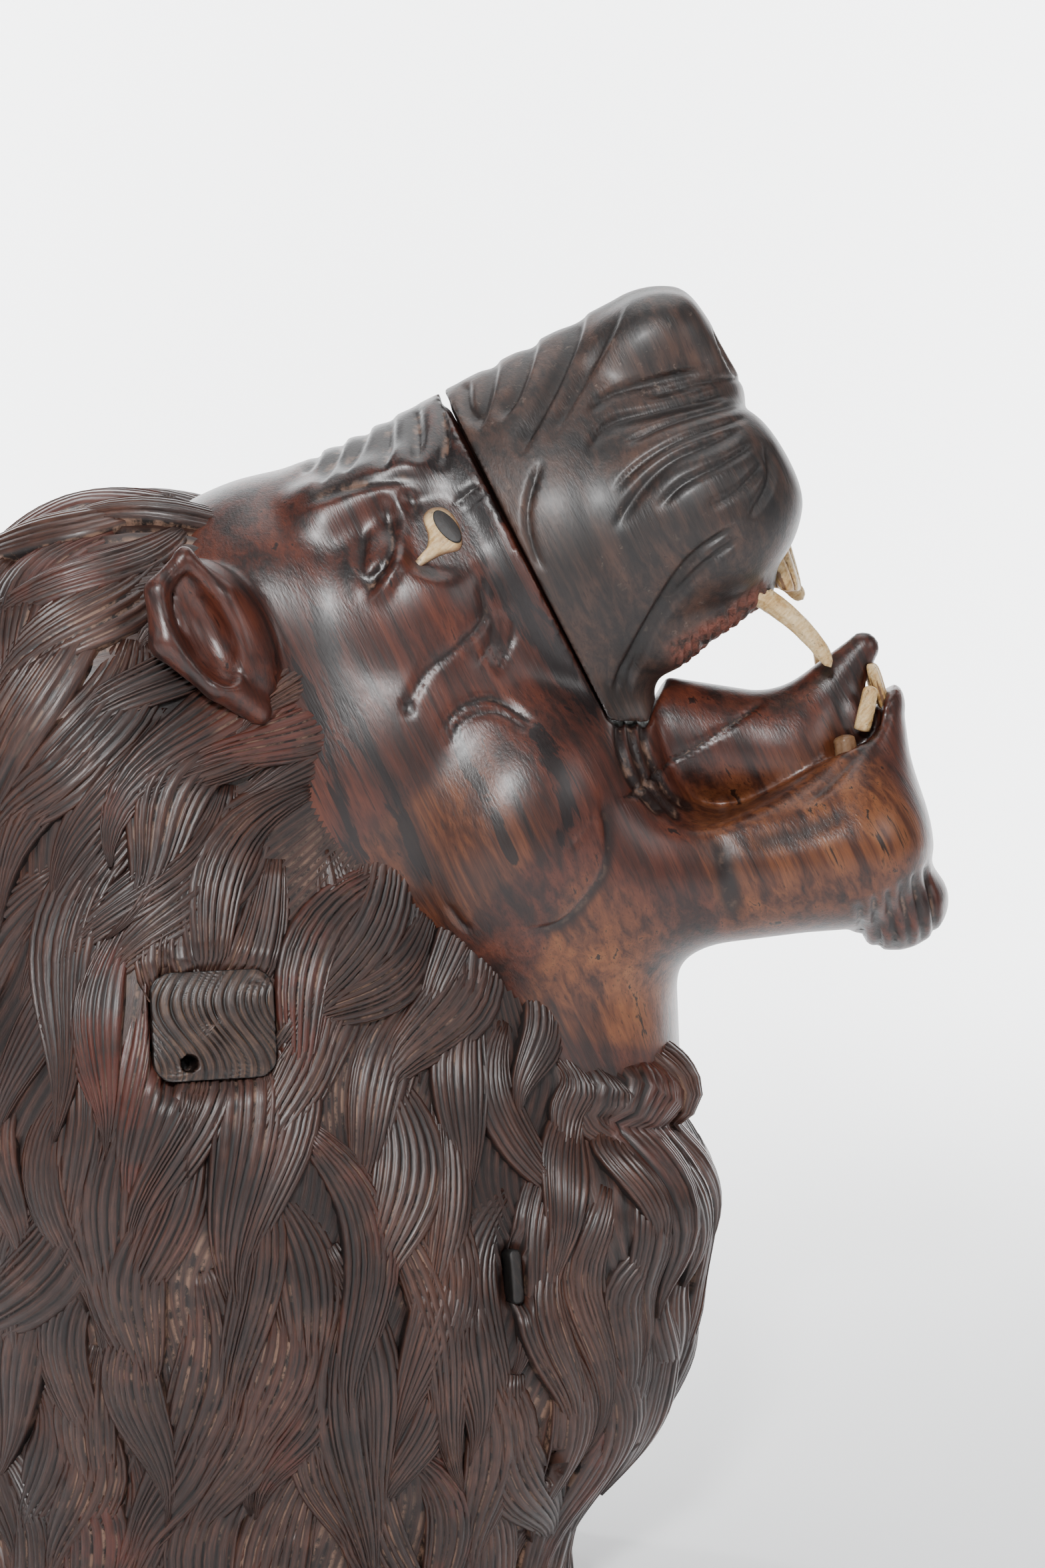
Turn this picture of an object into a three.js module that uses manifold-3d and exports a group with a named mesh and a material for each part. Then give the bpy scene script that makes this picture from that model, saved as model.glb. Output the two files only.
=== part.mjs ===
// A bust of a roaring lion carved in rosewood, looking up, with its mouth open and its mane in long locks.
// Millimetres. +X is the way the lion looks, +Y its left side, +Z up; the origin is the middle of the flat
// underside. The main block and the muzzle block are two pieces of wood glued along a straight joint.
import * as THREE from 'three';
import { mergeVertices } from 'three/addons/utils/BufferGeometryUtils.js';
import Module from 'manifold-3d';

const wasm = await Module();
wasm.setup();

// Gap between pieces that touch, the shortest edge, and the step, triangles and corners of each carved grid
const GAP = 0.35;
const SHORTEST = 0.15;
const FACE_NET = { step: 6, triangles: 3900, low: [-80, -85, 150], high: [285, 85, 510] };
const MUZZLE_NET = {
  step: 5.4, triangles: 1300, low: [50, -80, 322], high: [225, 80, 510], back: 56, bottom: 330,
};
const EAR_NET = { step: 4.5, triangles: 300, low: [-45, 40, 328], high: [35, 104, 424] };
// Thinning: the weight of an edge's length in its cost, and how squarely a face has to keep facing its way
const THINNING = { length: 0.02, facing: 0.4 };
// How far, as a share of the way to their neighbours, points that coincide are parted
const PARTING = 0.08;

// Swelling masses of the wood. A ball has half sizes and a nose-up tilt in degrees, a bar runs between two
// points with a radius at each end, and soft is the width over which a mass melts into those before it.
const HEAD = {
  skull: { at: [6, 0, 374], half: [74, 60, 52], tilt: 20, soft: 1 },
  forehead: { from: [20, 0, 386], to: [84, 0, 412], r: [42, 38], soft: 16 },
  side: { at: [52, 14, 325], half: [66, 50, 88], tilt: -28, soft: 20 },
  brow: { from: [36, 32, 416], to: [64, 31, 430], r: [13, 10], soft: 10 },
  cheekbone: { at: [66, 38, 384], half: [28, 20, 26], tilt: 10, soft: 12 },
  jawMuscle: { at: [100, 37, 303], half: [36, 32, 46], tilt: -12, soft: 10 },
  throat: { at: [108, 0, 300], half: [56, 56, 76], tilt: -10, soft: 24 },
  neckFront: { from: [116, 0, 290], to: [122, 0, 205], r: [46, 44], soft: 16 },
};
const SNOUT = {
  bridge: { from: [60, 0, 408], to: [157, 0, 467], r: [40, 33], flat: 1.15, soft: 1 },
  upperJaw: { at: [122, 10, 404], half: [60, 40, 58], tilt: 28, soft: 16 },
  whiskerPad: { at: [166, 21, 420], half: [42, 33, 38], tilt: 20, soft: 10 },
  nostril: { at: [151, 18, 479], half: [21, 12, 14], tilt: 28, soft: 8 },
  lip: { from: [158, 20, 371], to: [189, 16, 391], r: [10, 9], soft: 8 },
};
const JAW = {
  side: { from: [150, 20, 286], to: [226, 11, 294], r: [30, 30], soft: 1 },
  front: { from: [226, 0, 300], to: [234, 0, 345], r: [30, 15], soft: 16 },
  chinTuft: { at: [248, 0, 270], half: [19, 22, 16], tilt: 30, soft: 8 },
};
const MOUTH_FLOOR = { from: [168, 12, 330], to: [222, 7, 344], r: [22, 17] };
const TONGUE = {
  root: { from: [160, 0, 333], to: [205, 0, 328], r: [23, 21], flat: 1.25, soft: 1 },
  tip: { from: [205, 0, 330], to: [233, 0, 367], r: [19, 6], flat: 1.25, soft: 8 },
};
const EAR = {
  root: { at: [2, 60, 374], half: [16, 16, 30], tilt: 25, soft: 1 },
  floor: { at: [-2, 68, 377], half: [13, 9, 26], tilt: 25, soft: 4 },
  tip: { from: [-10, 75, 403], to: [-18, 80, 391], r: [2.8, 5], soft: 3 },
  back: { from: [-18, 80, 391], to: [-15, 81, 374], r: [5, 6.5], soft: 2 },
  lobe: { from: [-15, 81, 374], to: [2, 78, 360], r: [6.5, 6.5], soft: 2 },
  end: { from: [2, 78, 360], to: [14, 68, 349], r: [6.5, 5], soft: 2 },
  front: { from: [-10, 75, 403], to: [3, 71, 389], r: [2.8, 3.6], soft: 3 },
  cheek: { from: [3, 71, 389], to: [14, 65, 368], r: [3.6, 4.5], soft: 3 },
};
const EAR_HOLLOW = { at: [-2, 82, 378], half: [9, 12, 21], tilt: 27 };
const MANE = {
  crest: { at: [-30, 0, 335], half: [92, 88, 88], tilt: 10, soft: 1 },
  shoulder: { at: [0, 0, 215], half: [138, 110, 150], tilt: 0, soft: 40 },
  neck: { from: [-5, 0, 190], to: [-5, 0, -60], r: [118, 128], flat: 1.22, soft: 40 },
  chest: { at: [62, 0, 128], half: [108, 88, 100], tilt: -8, soft: 30 },
};
const BEARD = {
  upper: { at: [132, 0, 209], half: [41, 46, 17], tilt: -12, soft: 10 },
  lower: { at: [130, 0, 162], half: [48, 60, 38], tilt: -16, soft: 12 },
};

// Carved folds: rounded ridges laid along the surface, each a run of points with a radius
const FOLDS = [
  { path: [[187, 40, 443], [172, 50, 430], [158, 50, 408], [147, 44, 380], [142, 40, 352]], r: 8 },
  { path: [[120, 46, 392], [131, 48, 372], [136, 46, 350]], r: 6 },
  { path: [[142, 46, 338], [146, 48, 322], [142, 48, 306]], r: 6 },
  { path: [[152, 40, 340], [156, 42, 322], [152, 44, 306]], r: 6 },
  { path: [[60, 40, 424], [56, 50, 408], [52, 56, 386]], r: 6 },
];
const FOLD_SOFT = 5;
// The widths over which the larger parts of the head melt into each other
const JOINS = { muzzle: 12, jaw: 22, tongue: 3, earHollow: 3 };

// The lower rim of the mouth rises forward as a parabola from its back corner
const RIM = { back: 150, height: 302, rise: 0.0058, slope: 0.8, soft: 4 };
// Flat plane of the nose: a point on it and its forward and upward slope
const NOSE_PLANE = { at: [172, 490], normal: [0.87, 0.5], soft: 5 };
// The mane narrows towards the face: the boundary's point and normal, the half width there and its growth
const FACE_EDGE = { at: [20, 345], normal: [-0.876, -0.482], half: 62, grow: 0.55, slope: 0.85, soft: 24 };

// Locks of the mane: rows from face to base, locks round the neck, their height over the ground, the depth
// of the valleys between them, their sway in columns and the share of a row that a tip steps down in; the
// first ring lies hidden under the face, and no ring but the last reaches the underside
const NECK_LINE = [[80, 0, 327], [0, 0, 262], [0, 0, 0]];
const LOCKS = {
  rows: 8, count: 24, ridge: 6.5, root: 0.5, valley: 6.5, sway: 0.8, step: 0.09, hidden: 8, lowest: 0.5,
};
// The search for the ground from the neck line outwards: where it starts, its steps and the share of each
const SEARCH = { from: 20, steps: 60, share: 0.8 };

// Side view of the joint and the open mouth, from above the bridge to far in front of the teeth
const JOINT = [[64, 485], [77, 460], [137, 343], [152, 341], [160, 357]];
const MOUTH_LINE = [[170, 361], [182, 365], [196, 367], [206, 374], [250, 395], [320, 420]];
const JOINT_GAP = 1.6;
// The muzzle's space goes this far up, and this far to each side
const MUZZLE_SPACE = { top: 560, side: 130 };

// Bone and horn: right-hand pieces, mirrored where there is a left one
const EYE = {
  at: [77.5, -46.4, 408.9], normal: [0.05, -0.93, 0.36], depth: 6, proud: 0.8,
  outline: [[-1, 11.2], [-6.9, 6.9], [-5.6, 0.5], [-8.8, -7.1], [-9.4, -11.7], [-3.8, -8.6], [1.7, -6.2],
    [6.8, -3.9], [7.1, 1.5], [5, 6.7], [2.9, 10]],
};
const PUPIL = { centre: [1.1, 3.2], half: [6, 2.9], turn: -52, depth: 3, proud: 0.5 };
const CANINE_UPPER = { path: [[176, -19, 395], [201, -20, 380], [219, -19, 362]], r: [3.9, 3.7, 1.5] };
const CANINE_UPPER_LEFT = { path: [[188, 23, 398], [205, 23, 391], [213, 23, 385]], r: [3.3, 3.1, 2.2] };
const CANINE_LOWER_LEFT = { path: [[224, 15, 330], [221, 16, 352], [217, 16, 371]], r: [3.4, 2.8, 1.4] };
const CANINE_STUB = { path: [[226, -15, 322], [225, -16, 331], [224, -16, 337]], r: [4.4, 4.2, 3.6] };
const CORNER_INCISOR = { path: [[231, -13, 337], [233, -13.5, 346], [234.5, -13.5, 354]], r: [2.8, 2.7, 2] };
const UPPER_INCISORS = {
  centre: [190, 0, 399], radius: 15, spread: 62, height: 21, thick: 5, lean: 0.28, teeth: 6,
};
const LOWER_INCISORS = {
  centre: [228, 0, 353], radius: 11, spread: 36, height: 17, thick: 4.5, lean: 0.3, teeth: 4,
};
const PATCH = {
  at: [0.5, -97, 244], normal: [0.26, -0.93, 0.22], half: [21, 18.5], corner: 7, depth: 15, proud: 3,
};
const PATCH_HOLE = { at: [-9, -12.5], r: 3, depth: 12 };
const PEG = {
  at: [103, -71, 148], normal: [0.44, -0.88, 0.18], half: [2.2, 9.5], corner: 1.5, depth: 12, proud: 2.5,
};

// Two distances melted into one over a width, and the first one cut by the second
const blend = (a, b, soft) => Math.min(a, b) - Math.max(soft - Math.abs(a - b), 0) ** 2 / (4 * soft);
const cutBy = (a, b, soft) => -blend(-a, b, soft);

// Distance to a tilted ball, and to a tapered bar that may be flattened in Y; both are negative inside
function ball(x, y, z, { at, half, tilt }) {
  const turn = THREE.MathUtils.degToRad(tilt);
  const [u, v, w] = [x - at[0], y - at[1], z - at[2]];
  const a = u * Math.cos(turn) + w * Math.sin(turn);
  const c = w * Math.cos(turn) - u * Math.sin(turn);
  const k = Math.hypot(a / half[0], v / half[1], c / half[2]) + 1e-9;
  const g = Math.hypot(a / half[0] ** 2, v / half[1] ** 2, c / half[2] ** 2) + 1e-9;
  return k * (k - 1) / g;
}

function bar(x, y, z, { from, to, r, flat = 1 }) {
  const d = [to[0] - from[0], (to[1] - from[1]) * flat, to[2] - from[2]];
  const p = [x - from[0], (y - from[1]) * flat, z - from[2]];
  const along = (p[0] * d[0] + p[1] * d[1] + p[2] * d[2]) / (d[0] ** 2 + d[1] ** 2 + d[2] ** 2);
  const t = THREE.MathUtils.clamp(along, 0, 1);
  const off = Math.hypot(p[0] - t * d[0], p[1] - t * d[1], p[2] - t * d[2]);
  return (off - r[0] - t * (r[1] - r[0])) / Math.sqrt(flat);
}

function melt(x, y, z, masses, start = 1e3) {
  return Object.values(masses).reduce((d, mass) => {
    const own = mass.half ? ball(x, y, z, mass) : bar(x, y, z, mass);
    return blend(d, own, mass.soft);
  }, start);
}

// The head with its muzzle and folds; both halves are alike, so y counts as its size
function upperHead(x, y, z) {
  const side = Math.abs(y);
  const nose = (x - NOSE_PLANE.at[0]) * NOSE_PLANE.normal[0] + (z - NOSE_PLANE.at[1]) * NOSE_PLANE.normal[1];
  const muzzle = cutBy(melt(x, side, z, SNOUT), -nose, NOSE_PLANE.soft);
  let d = blend(melt(x, side, z, HEAD), muzzle, JOINS.muzzle);
  for (const { path, r } of FOLDS) {
    for (let i = 1; i < path.length; i += 1) {
      d = blend(d, bar(x, side, z, { from: path[i - 1], to: path[i], r: [r, r] }), FOLD_SOFT);
    }
  }
  return d;
}

// The lower jaw is a trough with a rising rim; the tongue lies in it
function lowerJaw(x, y, z) {
  const side = Math.abs(y);
  const rim = RIM.height + RIM.rise * Math.max(x - RIM.back, 0) ** 2;
  const trough = cutBy(melt(x, side, z, JAW), (rim - z) * RIM.slope, RIM.soft);
  return cutBy(trough, bar(x, side, z, MOUTH_FLOOR), RIM.soft);
}

function wholeHead(x, y, z) {
  const jawed = blend(upperHead(x, y, z), lowerJaw(x, y, z), JOINS.jaw);
  return blend(jawed, melt(x, Math.abs(y), z, TONGUE), JOINS.tongue);
}

function ear(x, y, z) {
  return cutBy(melt(x, y, z, EAR), ball(x, y, z, EAR_HOLLOW), JOINS.earHollow);
}

// The ground of the mane under its locks
function maneGround(x, y, z) {
  const side = Math.abs(y);
  const { at, normal, half, grow, slope, soft } = FACE_EDGE;
  const behind = (x - at[0]) * normal[0] + (z - at[1]) * normal[1];
  const narrowed = cutBy(melt(x, side, z, MANE), (half + grow * behind - side) * slope, soft);
  return melt(x, side, z, BEARD, narrowed);
}

// A solid from points and triangles, turned inside out if its volume comes out negative
function solid(points, triangles) {
  const [a, b, c] = [new THREE.Vector3(), new THREE.Vector3(), new THREE.Vector3()];
  const volume = triangles.reduce((sum, [i, j, k]) => {
    return sum + a.fromArray(points[i]).dot(b.fromArray(points[j]).cross(c.fromArray(points[k])));
  }, 0);
  const faces = volume < 0 ? triangles.map(([i, j, k]) => [i, k, j]) : triangles;
  return new wasm.Manifold(new wasm.Mesh({
    numProp: 3,
    vertProperties: new Float32Array(points.flat()),
    triVerts: new Uint32Array(faces.flat()),
  }));
}

// The faces around each point of a mesh
function facesAround(points, faces) {
  const around = points.map(() => []);
  faces.forEach((face, n) => face.forEach((i) => around[i].push(n)));
  return around;
}

// Draws edges together in the order given, each to its own spot, as long as more than target faces are
// left. An edge whose neighbours are not plainly two triangles stays, and so does one that allowed refuses.
function drawnTogether(points, faces, around, edges, target, allowed) {
  const busy = new Set();
  const joined = new Map();
  for (const { i, j, at } of edges) {
    const near = [i, j].map((v) => new Set(around[v].flatMap((f) => faces[f])));
    const shared = [...near[0]].filter((v) => near[1].has(v)).length;
    const all = [...near[0], ...near[1]];
    const room = faces.length - 2 * joined.size > target;
    if (room && shared === 4 && !all.some((v) => busy.has(v)) && allowed(i, j, at)) {
      all.forEach((v) => busy.add(v));
      joined.set(j, i);
      points[i] = at.toArray();
    }
  }
  return faces.map((face) => face.map((v) => joined.get(v) ?? v))
    .filter(([a, b, c]) => a !== b && b !== c && c !== a);
}

// A solid of the points that the faces still use
function solidOf(points, faces) {
  const kept = [...new Set(faces.flat())];
  const place = new Map(kept.map((v, n) => [v, n]));
  return solid(kept.map((v) => points[v]), faces.map((face) => face.map((v) => place.get(v))));
}

// Thins a net where the surface is flattest. The cost of an edge is how far its new point lies from the
// planes of the faces around both its ends, by their areas, and a little for its length.
function thinned(points, triangles, target) {
  let faces = triangles;
  const vector = (i) => new THREE.Vector3(...points[i]);
  const squareOn = (face, ends, to) => {
    const [a, b, c] = face.map((n) => (ends.includes(n) ? to.clone() : vector(n)));
    return b.sub(a).cross(c.sub(a));
  };
  for (let before = Infinity; faces.length > target && faces.length < before;) {
    before = faces.length;
    const around = facesAround(points, faces);
    const planes = faces.map((face) => {
      const normal = squareOn(face, []);
      const area = normal.length();
      normal.divideScalar(area);
      return { normal, area, offset: normal.dot(vector(face[0])) };
    });
    const cheapest = (i, j) => {
      const ends = [vector(i), vector(j)];
      const spots = [...ends, ends[0].clone().lerp(ends[1], 0.5)].map((at) => {
        const cost = [...around[i], ...around[j]].reduce((sum, f) => {
          return sum + planes[f].area * (planes[f].normal.dot(at) - planes[f].offset) ** 2;
        }, 0);
        return { i, j, at, cost: cost + THINNING.length * ends[0].distanceToSquared(ends[1]) };
      });
      return spots.reduce((best, spot) => (spot.cost < best.cost ? spot : best));
    };
    const edges = faces.flatMap((face) => face.map((i, n) => [i, face[(n + 1) % 3]]))
      .filter(([i, j]) => i < j)
      .map(([i, j]) => cheapest(i, j))
      .sort((a, b) => a.cost - b.cost);
    const unturned = (i, j, at) => [...around[i], ...around[j]].every((f) => {
      const after = squareOn(faces[f], [i, j], at);
      const goes = faces[f].includes(i) && faces[f].includes(j);
      return goes || after.dot(planes[f].normal) >= THINNING.facing * after.length();
    });
    faces = drawnTogether(points, faces, around, edges, target, unturned);
  }
  return solidOf(points, faces);
}

// Where a surface only touches itself along an edge, each side's points go a little way to their neighbours
function parted(points, faces) {
  const key = (p) => p.map((v) => v.toFixed(3)).join();
  const count = new Map();
  points.forEach((p) => count.set(key(p), (count.get(key(p)) ?? 0) + 1));
  const around = facesAround(points, faces);
  return points.map((p, i) => {
    const near = [...new Set(around[i].flatMap((f) => faces[f]))];
    const mean = p.map((_, n) => near.reduce((sum, v) => sum + points[v][n], 0) / near.length);
    return count.get(key(p)) > 1 ? p.map((v, n) => v + PARTING * (mean[n] - v)) : p;
  });
}

// Joins and cuts leave slivers: edges under the shortest length are drawn together
function cleaned(piece) {
  const mesh = piece.getMesh();
  const triples = (list) => Array.from(
    { length: list.length / 3 }, (_, i) => [...list.slice(3 * i, 3 * i + 3)],
  );
  const points = triples(mesh.vertProperties);
  let faces = triples(mesh.triVerts);
  for (let before = Infinity; faces.length < before;) {
    before = faces.length;
    const length = (i, j) => Math.hypot(...points[i].map((v, n) => v - points[j][n]));
    const edges = faces.flatMap((face) => face.map((i, n) => [i, face[(n + 1) % 3]]))
      .filter(([i, j]) => i < j && length(i, j) < SHORTEST)
      .map(([i, j]) => ({ i, j, at: new THREE.Vector3(...points[i]) }));
    faces = drawnTogether(points, faces, facesAround(points, faces), edges, 0, () => true);
  }
  const closed = solidOf(points, faces).getMesh();
  return solidOf(parted(triples(closed.vertProperties), triples(closed.triVerts)), triples(closed.triVerts));
}

// Surface net: one point in each grid cell that the surface crosses, at the mean of its crossings, and one
// four-sided face around each grid edge that it crosses; then thinned
function surfaceNet(field, { low, high, step, triangles: target }) {
  const count = low.map((v, i) => Math.ceil((high[i] - v) / step) + 1);
  const index = (i, j, k) => (k * count[1] + j) * count[0] + i;
  const value = new Float64Array(count[0] * count[1] * count[2]);
  const place = (i, j, k) => [low[0] + i * step, low[1] + j * step, low[2] + k * step];
  const eachCell = (visit) => {
    for (let k = 0; k < count[2]; k += 1) {
      for (let j = 0; j < count[1]; j += 1) {
        for (let i = 0; i < count[0]; i += 1) visit(i, j, k);
      }
    }
  };
  eachCell((i, j, k) => {
    value[index(i, j, k)] = field(...place(i, j, k));
  });
  const points = [];
  const cellPoint = new Map();
  const pointOf = (i, j, k) => {
    const key = index(i, j, k);
    if (!cellPoint.has(key)) {
      const sum = [0, 0, 0];
      let crossings = 0;
      for (let axis = 0; axis < 3; axis += 1) {
        for (let corner = 0; corner < 4; corner += 1) {
          const start = [i, j, k];
          start[(axis + 1) % 3] += corner & 1;
          start[(axis + 2) % 3] += corner >> 1;
          const end = [...start];
          end[axis] += 1;
          const [f, g] = [value[index(...start)], value[index(...end)]];
          if ((f < 0) !== (g < 0)) {
            start[axis] += f / (f - g);
            place(...start).forEach((v, n) => { sum[n] += v; });
            crossings += 1;
          }
        }
      }
      cellPoint.set(key, points.length);
      points.push(sum.map((v) => v / crossings));
    }
    return cellPoint.get(key);
  };
  const distance = (p, q) => Math.hypot(...points[p].map((v, n) => v - points[q][n]));
  const triangles = [];
  eachCell((i, j, k) => {
    for (let axis = 0; axis < 3; axis += 1) {
      const end = [i, j, k];
      end[axis] += 1;
      const [u, w] = [(axis + 1) % 3, (axis + 2) % 3];
      if (end[axis] < count[axis] && end[u] > 0 && end[w] > 0) {
        const inside = value[index(i, j, k)] < 0;
        if (inside !== value[index(...end)] < 0) {
          const ring = [[0, 0], [1, 0], [1, 1], [0, 1]].map(([du, dw]) => {
            const cell = [i, j, k];
            cell[u] -= du;
            cell[w] -= dw;
            return pointOf(...cell);
          });
          const quad = inside ? ring : ring.reverse();
          const turn = distance(quad[0], quad[2]) < distance(quad[1], quad[3]) ? 0 : 1;
          const [a, b, c, d] = [0, 1, 2, 3].map((n) => quad[(n + turn) % 4]);
          triangles.push([a, b, c], [a, c, d]);
        }
      }
    }
  });
  return thinned(points, triangles, target);
}

// A skin over rings of equal count, closed by a fan at each end
function loft(rings) {
  const size = rings[0].length;
  const points = rings.flat();
  const triangles = [];
  for (let r = 1; r < rings.length; r += 1) {
    for (let i = 0; i < size; i += 1) {
      const [a, b] = [(r - 1) * size + i, (r - 1) * size + (i + 1) % size];
      triangles.push([a, b, b + size], [a, b + size, a + size]);
    }
  }
  for (const [ring, start] of [[rings[0], 0], [rings.at(-1), (rings.length - 1) * size]]) {
    const middle = [0, 1, 2].map((n) => ring.reduce((sum, p) => sum + p[n], 0) / size);
    points.push(middle);
    for (let i = 0; i < size; i += 1) {
      const edge = [start + i, start + (i + 1) % size];
      triangles.push([points.length - 1, ...(start ? edge : edge.reverse())]);
    }
  }
  return solid(points, triangles);
}

// The mane is a skin of rings square to the bent line of the neck. Each lock rises from its root to a ridge
// and steps down at its tip; the tips of every second lock come half a row lower, and the locks sway.
function maneSolid() {
  const line = new THREE.QuadraticBezierCurve3(...NECK_LINE.map((p) => new THREE.Vector3(...p)));
  const columns = LOCKS.count * 2;
  const halves = LOCKS.rows * 2;
  const rings = [];
  for (let ring = 0; ring <= halves * 2; ring += 1) {
    const half = Math.floor(ring / 2);
    const t = Math.min((half + (ring % 2) * 2 * LOCKS.step) / halves, 1);
    const centre = line.getPointAt(t);
    const down = line.getTangentAt(t);
    const back = new THREE.Vector3(down.z, 0, -down.x);
    const sway = LOCKS.sway * Math.sin(Math.PI * half / 2);
    rings.push(Array.from({ length: columns }, (_, column) => {
      const angle = 2 * Math.PI * (column + sway) / columns;
      const out = back.clone().multiplyScalar(Math.cos(angle)).setY(Math.sin(angle));
      let radius = SEARCH.from;
      for (let n = 0; n < SEARCH.steps; n += 1) {
        const at = out.clone().multiplyScalar(radius).add(centre);
        radius -= SEARCH.share * maneGround(at.x, at.y, at.z);
      }
      const isTip = (half + Math.floor(column / 2)) % 2 === 0;
      const ridge = isTip && ring % 2 ? LOCKS.root : LOCKS.ridge;
      const carved = column % 2 ? -LOCKS.valley : ridge;
      const p = out.multiplyScalar(radius + (ring ? carved : -LOCKS.hidden)).add(centre);
      return [p.x, p.y, t === 1 ? 0 : Math.max(p.z, LOCKS.lowest)];
    }));
  }
  return loft(rings);
}

// Everything in front of the joint and above the middle of the mouth, as a prism right across the head;
// it is grown or shrunk by moving its two lines apart
function muzzleSpace(grow) {
  const shape = new THREE.Shape();
  const outline = [
    ...JOINT.map(([x, z], i) => [x - (i < 3 ? grow : 0), z - (i < 2 ? 0 : grow)]),
    ...MOUTH_LINE.map(([x, z]) => [x, z - grow]),
    [MOUTH_LINE.at(-1)[0], MUZZLE_SPACE.top], [JOINT[0][0], MUZZLE_SPACE.top],
  ];
  outline.forEach(([x, z], i) => (i ? shape.lineTo(x, z) : shape.moveTo(x, z)));
  const geometry = new THREE.ExtrudeGeometry(shape, { depth: 2 * MUZZLE_SPACE.side, bevelEnabled: false });
  geometry.rotateX(Math.PI / 2);
  geometry.translate(0, MUZZLE_SPACE.side, 0);
  return fromGeometry(geometry);
}

function fromGeometry(geometry) {
  geometry.deleteAttribute('normal');
  geometry.deleteAttribute('uv');
  const merged = mergeVertices(geometry, 1e-4);
  const position = merged.attributes.position;
  const points = Array.from(
    { length: position.count }, (_, i) => [0, 1, 2].map((n) => position.getComponent(i, n)),
  );
  const index = Array.from(merged.index.array);
  const triangles = Array.from({ length: index.length / 3 }, (_, i) => index.slice(3 * i, 3 * i + 3));
  return solid(points, triangles);
}

// An inlay: an outline in the plane square to its normal, from its bed up to a crowned face
function inlay({ at, normal, depth, proud }, outline, grow = 0, tall = 0) {
  const out = new THREE.Vector3(...normal).normalize();
  const along = new THREE.Vector3(0, 0, 1).cross(out).normalize();
  const up = out.clone().cross(along);
  const middle = [0, 1].map((n) => outline.reduce((sum, p) => sum + p[n], 0) / outline.length);
  const level = (height, scale) => outline.map((p) => {
    const [a, b] = p.map((v, n) => {
      const reach = Math.hypot(p[0] - middle[0], p[1] - middle[1]);
      return middle[n] + (v - middle[n]) * (scale + grow / reach);
    });
    const spot = out.clone().multiplyScalar(height).addScaledVector(along, a).addScaledVector(up, b);
    return spot.add(new THREE.Vector3(...at)).toArray();
  });
  return loft([level(-depth - grow, 1), level(proud * 0.4 + tall, 1), level(proud + tall, 0.6)]);
}

function smoothOutline(points, count) {
  const curve = new THREE.CatmullRomCurve3(points.map(([a, b]) => new THREE.Vector3(a, b, 0)), true);
  return curve.getPoints(count).slice(0, count).map((p) => [p.x, p.y]);
}

function ovalOutline({ centre, half, turn }, count) {
  const lean = THREE.MathUtils.degToRad(turn);
  return Array.from({ length: count }, (_, i) => {
    const angle = 2 * Math.PI * i / count;
    const [a, b] = [half[0] * Math.cos(angle), half[1] * Math.sin(angle)];
    return [
      centre[0] + a * Math.cos(lean) - b * Math.sin(lean),
      centre[1] + a * Math.sin(lean) + b * Math.cos(lean),
    ];
  });
}

function roundedOutline({ half, corner }) {
  const outline = [];
  for (let quarter = 0; quarter < 4; quarter += 1) {
    for (let step = 0; step <= 3; step += 1) {
      const angle = Math.PI / 2 * (quarter + step / 3);
      const [sx, sz] = [quarter === 0 || quarter === 3 ? 1 : -1, quarter < 2 ? 1 : -1];
      outline.push([
        sx * (half[0] - corner) + corner * Math.cos(angle),
        sz * (half[1] - corner) + corner * Math.sin(angle),
      ]);
    }
  }
  return outline;
}

// A tooth: round rings along a curve through three points, its radius running through three values
function tooth({ path, r }, grow = 0, sides = 8, steps = 4) {
  const curve = new THREE.CatmullRomCurve3(path.map((p) => new THREE.Vector3(...p)));
  const rings = [];
  for (let step = 0; step <= steps; step += 1) {
    const t = step / steps;
    const radius = grow + (t < 0.5 ? r[0] + (r[1] - r[0]) * 2 * t : r[1] + (r[2] - r[1]) * (2 * t - 1));
    const tangent = curve.getTangent(t);
    const side = new THREE.Vector3(0, 1, 0).cross(tangent).normalize();
    const across = tangent.clone().cross(side);
    const centre = curve.getPoint(t).addScaledVector(tangent, step === 0 ? -grow : 0);
    rings.push(Array.from({ length: sides }, (_, i) => {
      const angle = 2 * Math.PI * i / sides;
      const p = side.clone().multiplyScalar(radius * Math.cos(angle))
        .addScaledVector(across, radius * Math.sin(angle));
      return p.add(centre).toArray();
    }));
  }
  return loft(rings);
}

// A row of incisors in one strip: an upright band bent round an arc, its teeth parted by notches in plan
function incisors({ centre, radius, spread, height, thick, lean, teeth }, grow = 0) {
  const steps = teeth * 2;
  const band = (z, shift) => {
    const outer = [];
    const inner = [];
    for (let i = 0; i <= steps; i += 1) {
      const angle = (THREE.MathUtils.degToRad(spread) + 1.5 * grow / radius) * (2 * i / steps - 1);
      const swell = 0.8 * Math.abs(Math.sin(Math.PI * teeth * i / steps));
      const at = (r) => [centre[0] + shift + r * Math.cos(angle), r * Math.sin(angle) * 1.15, centre[2] + z];
      outer.push(at(radius + thick / 2 + swell + grow));
      inner.push(at(radius - thick / 2 - grow));
    }
    return [...outer, ...inner.reverse()];
  };
  return loft([-1, -0.3, 0.4, 1].map((f) => band(f * (height / 2 + grow), -f * lean * height / 2)));
}

function mirrored(piece) {
  return piece.mirror([0, 1, 0]);
}

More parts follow.
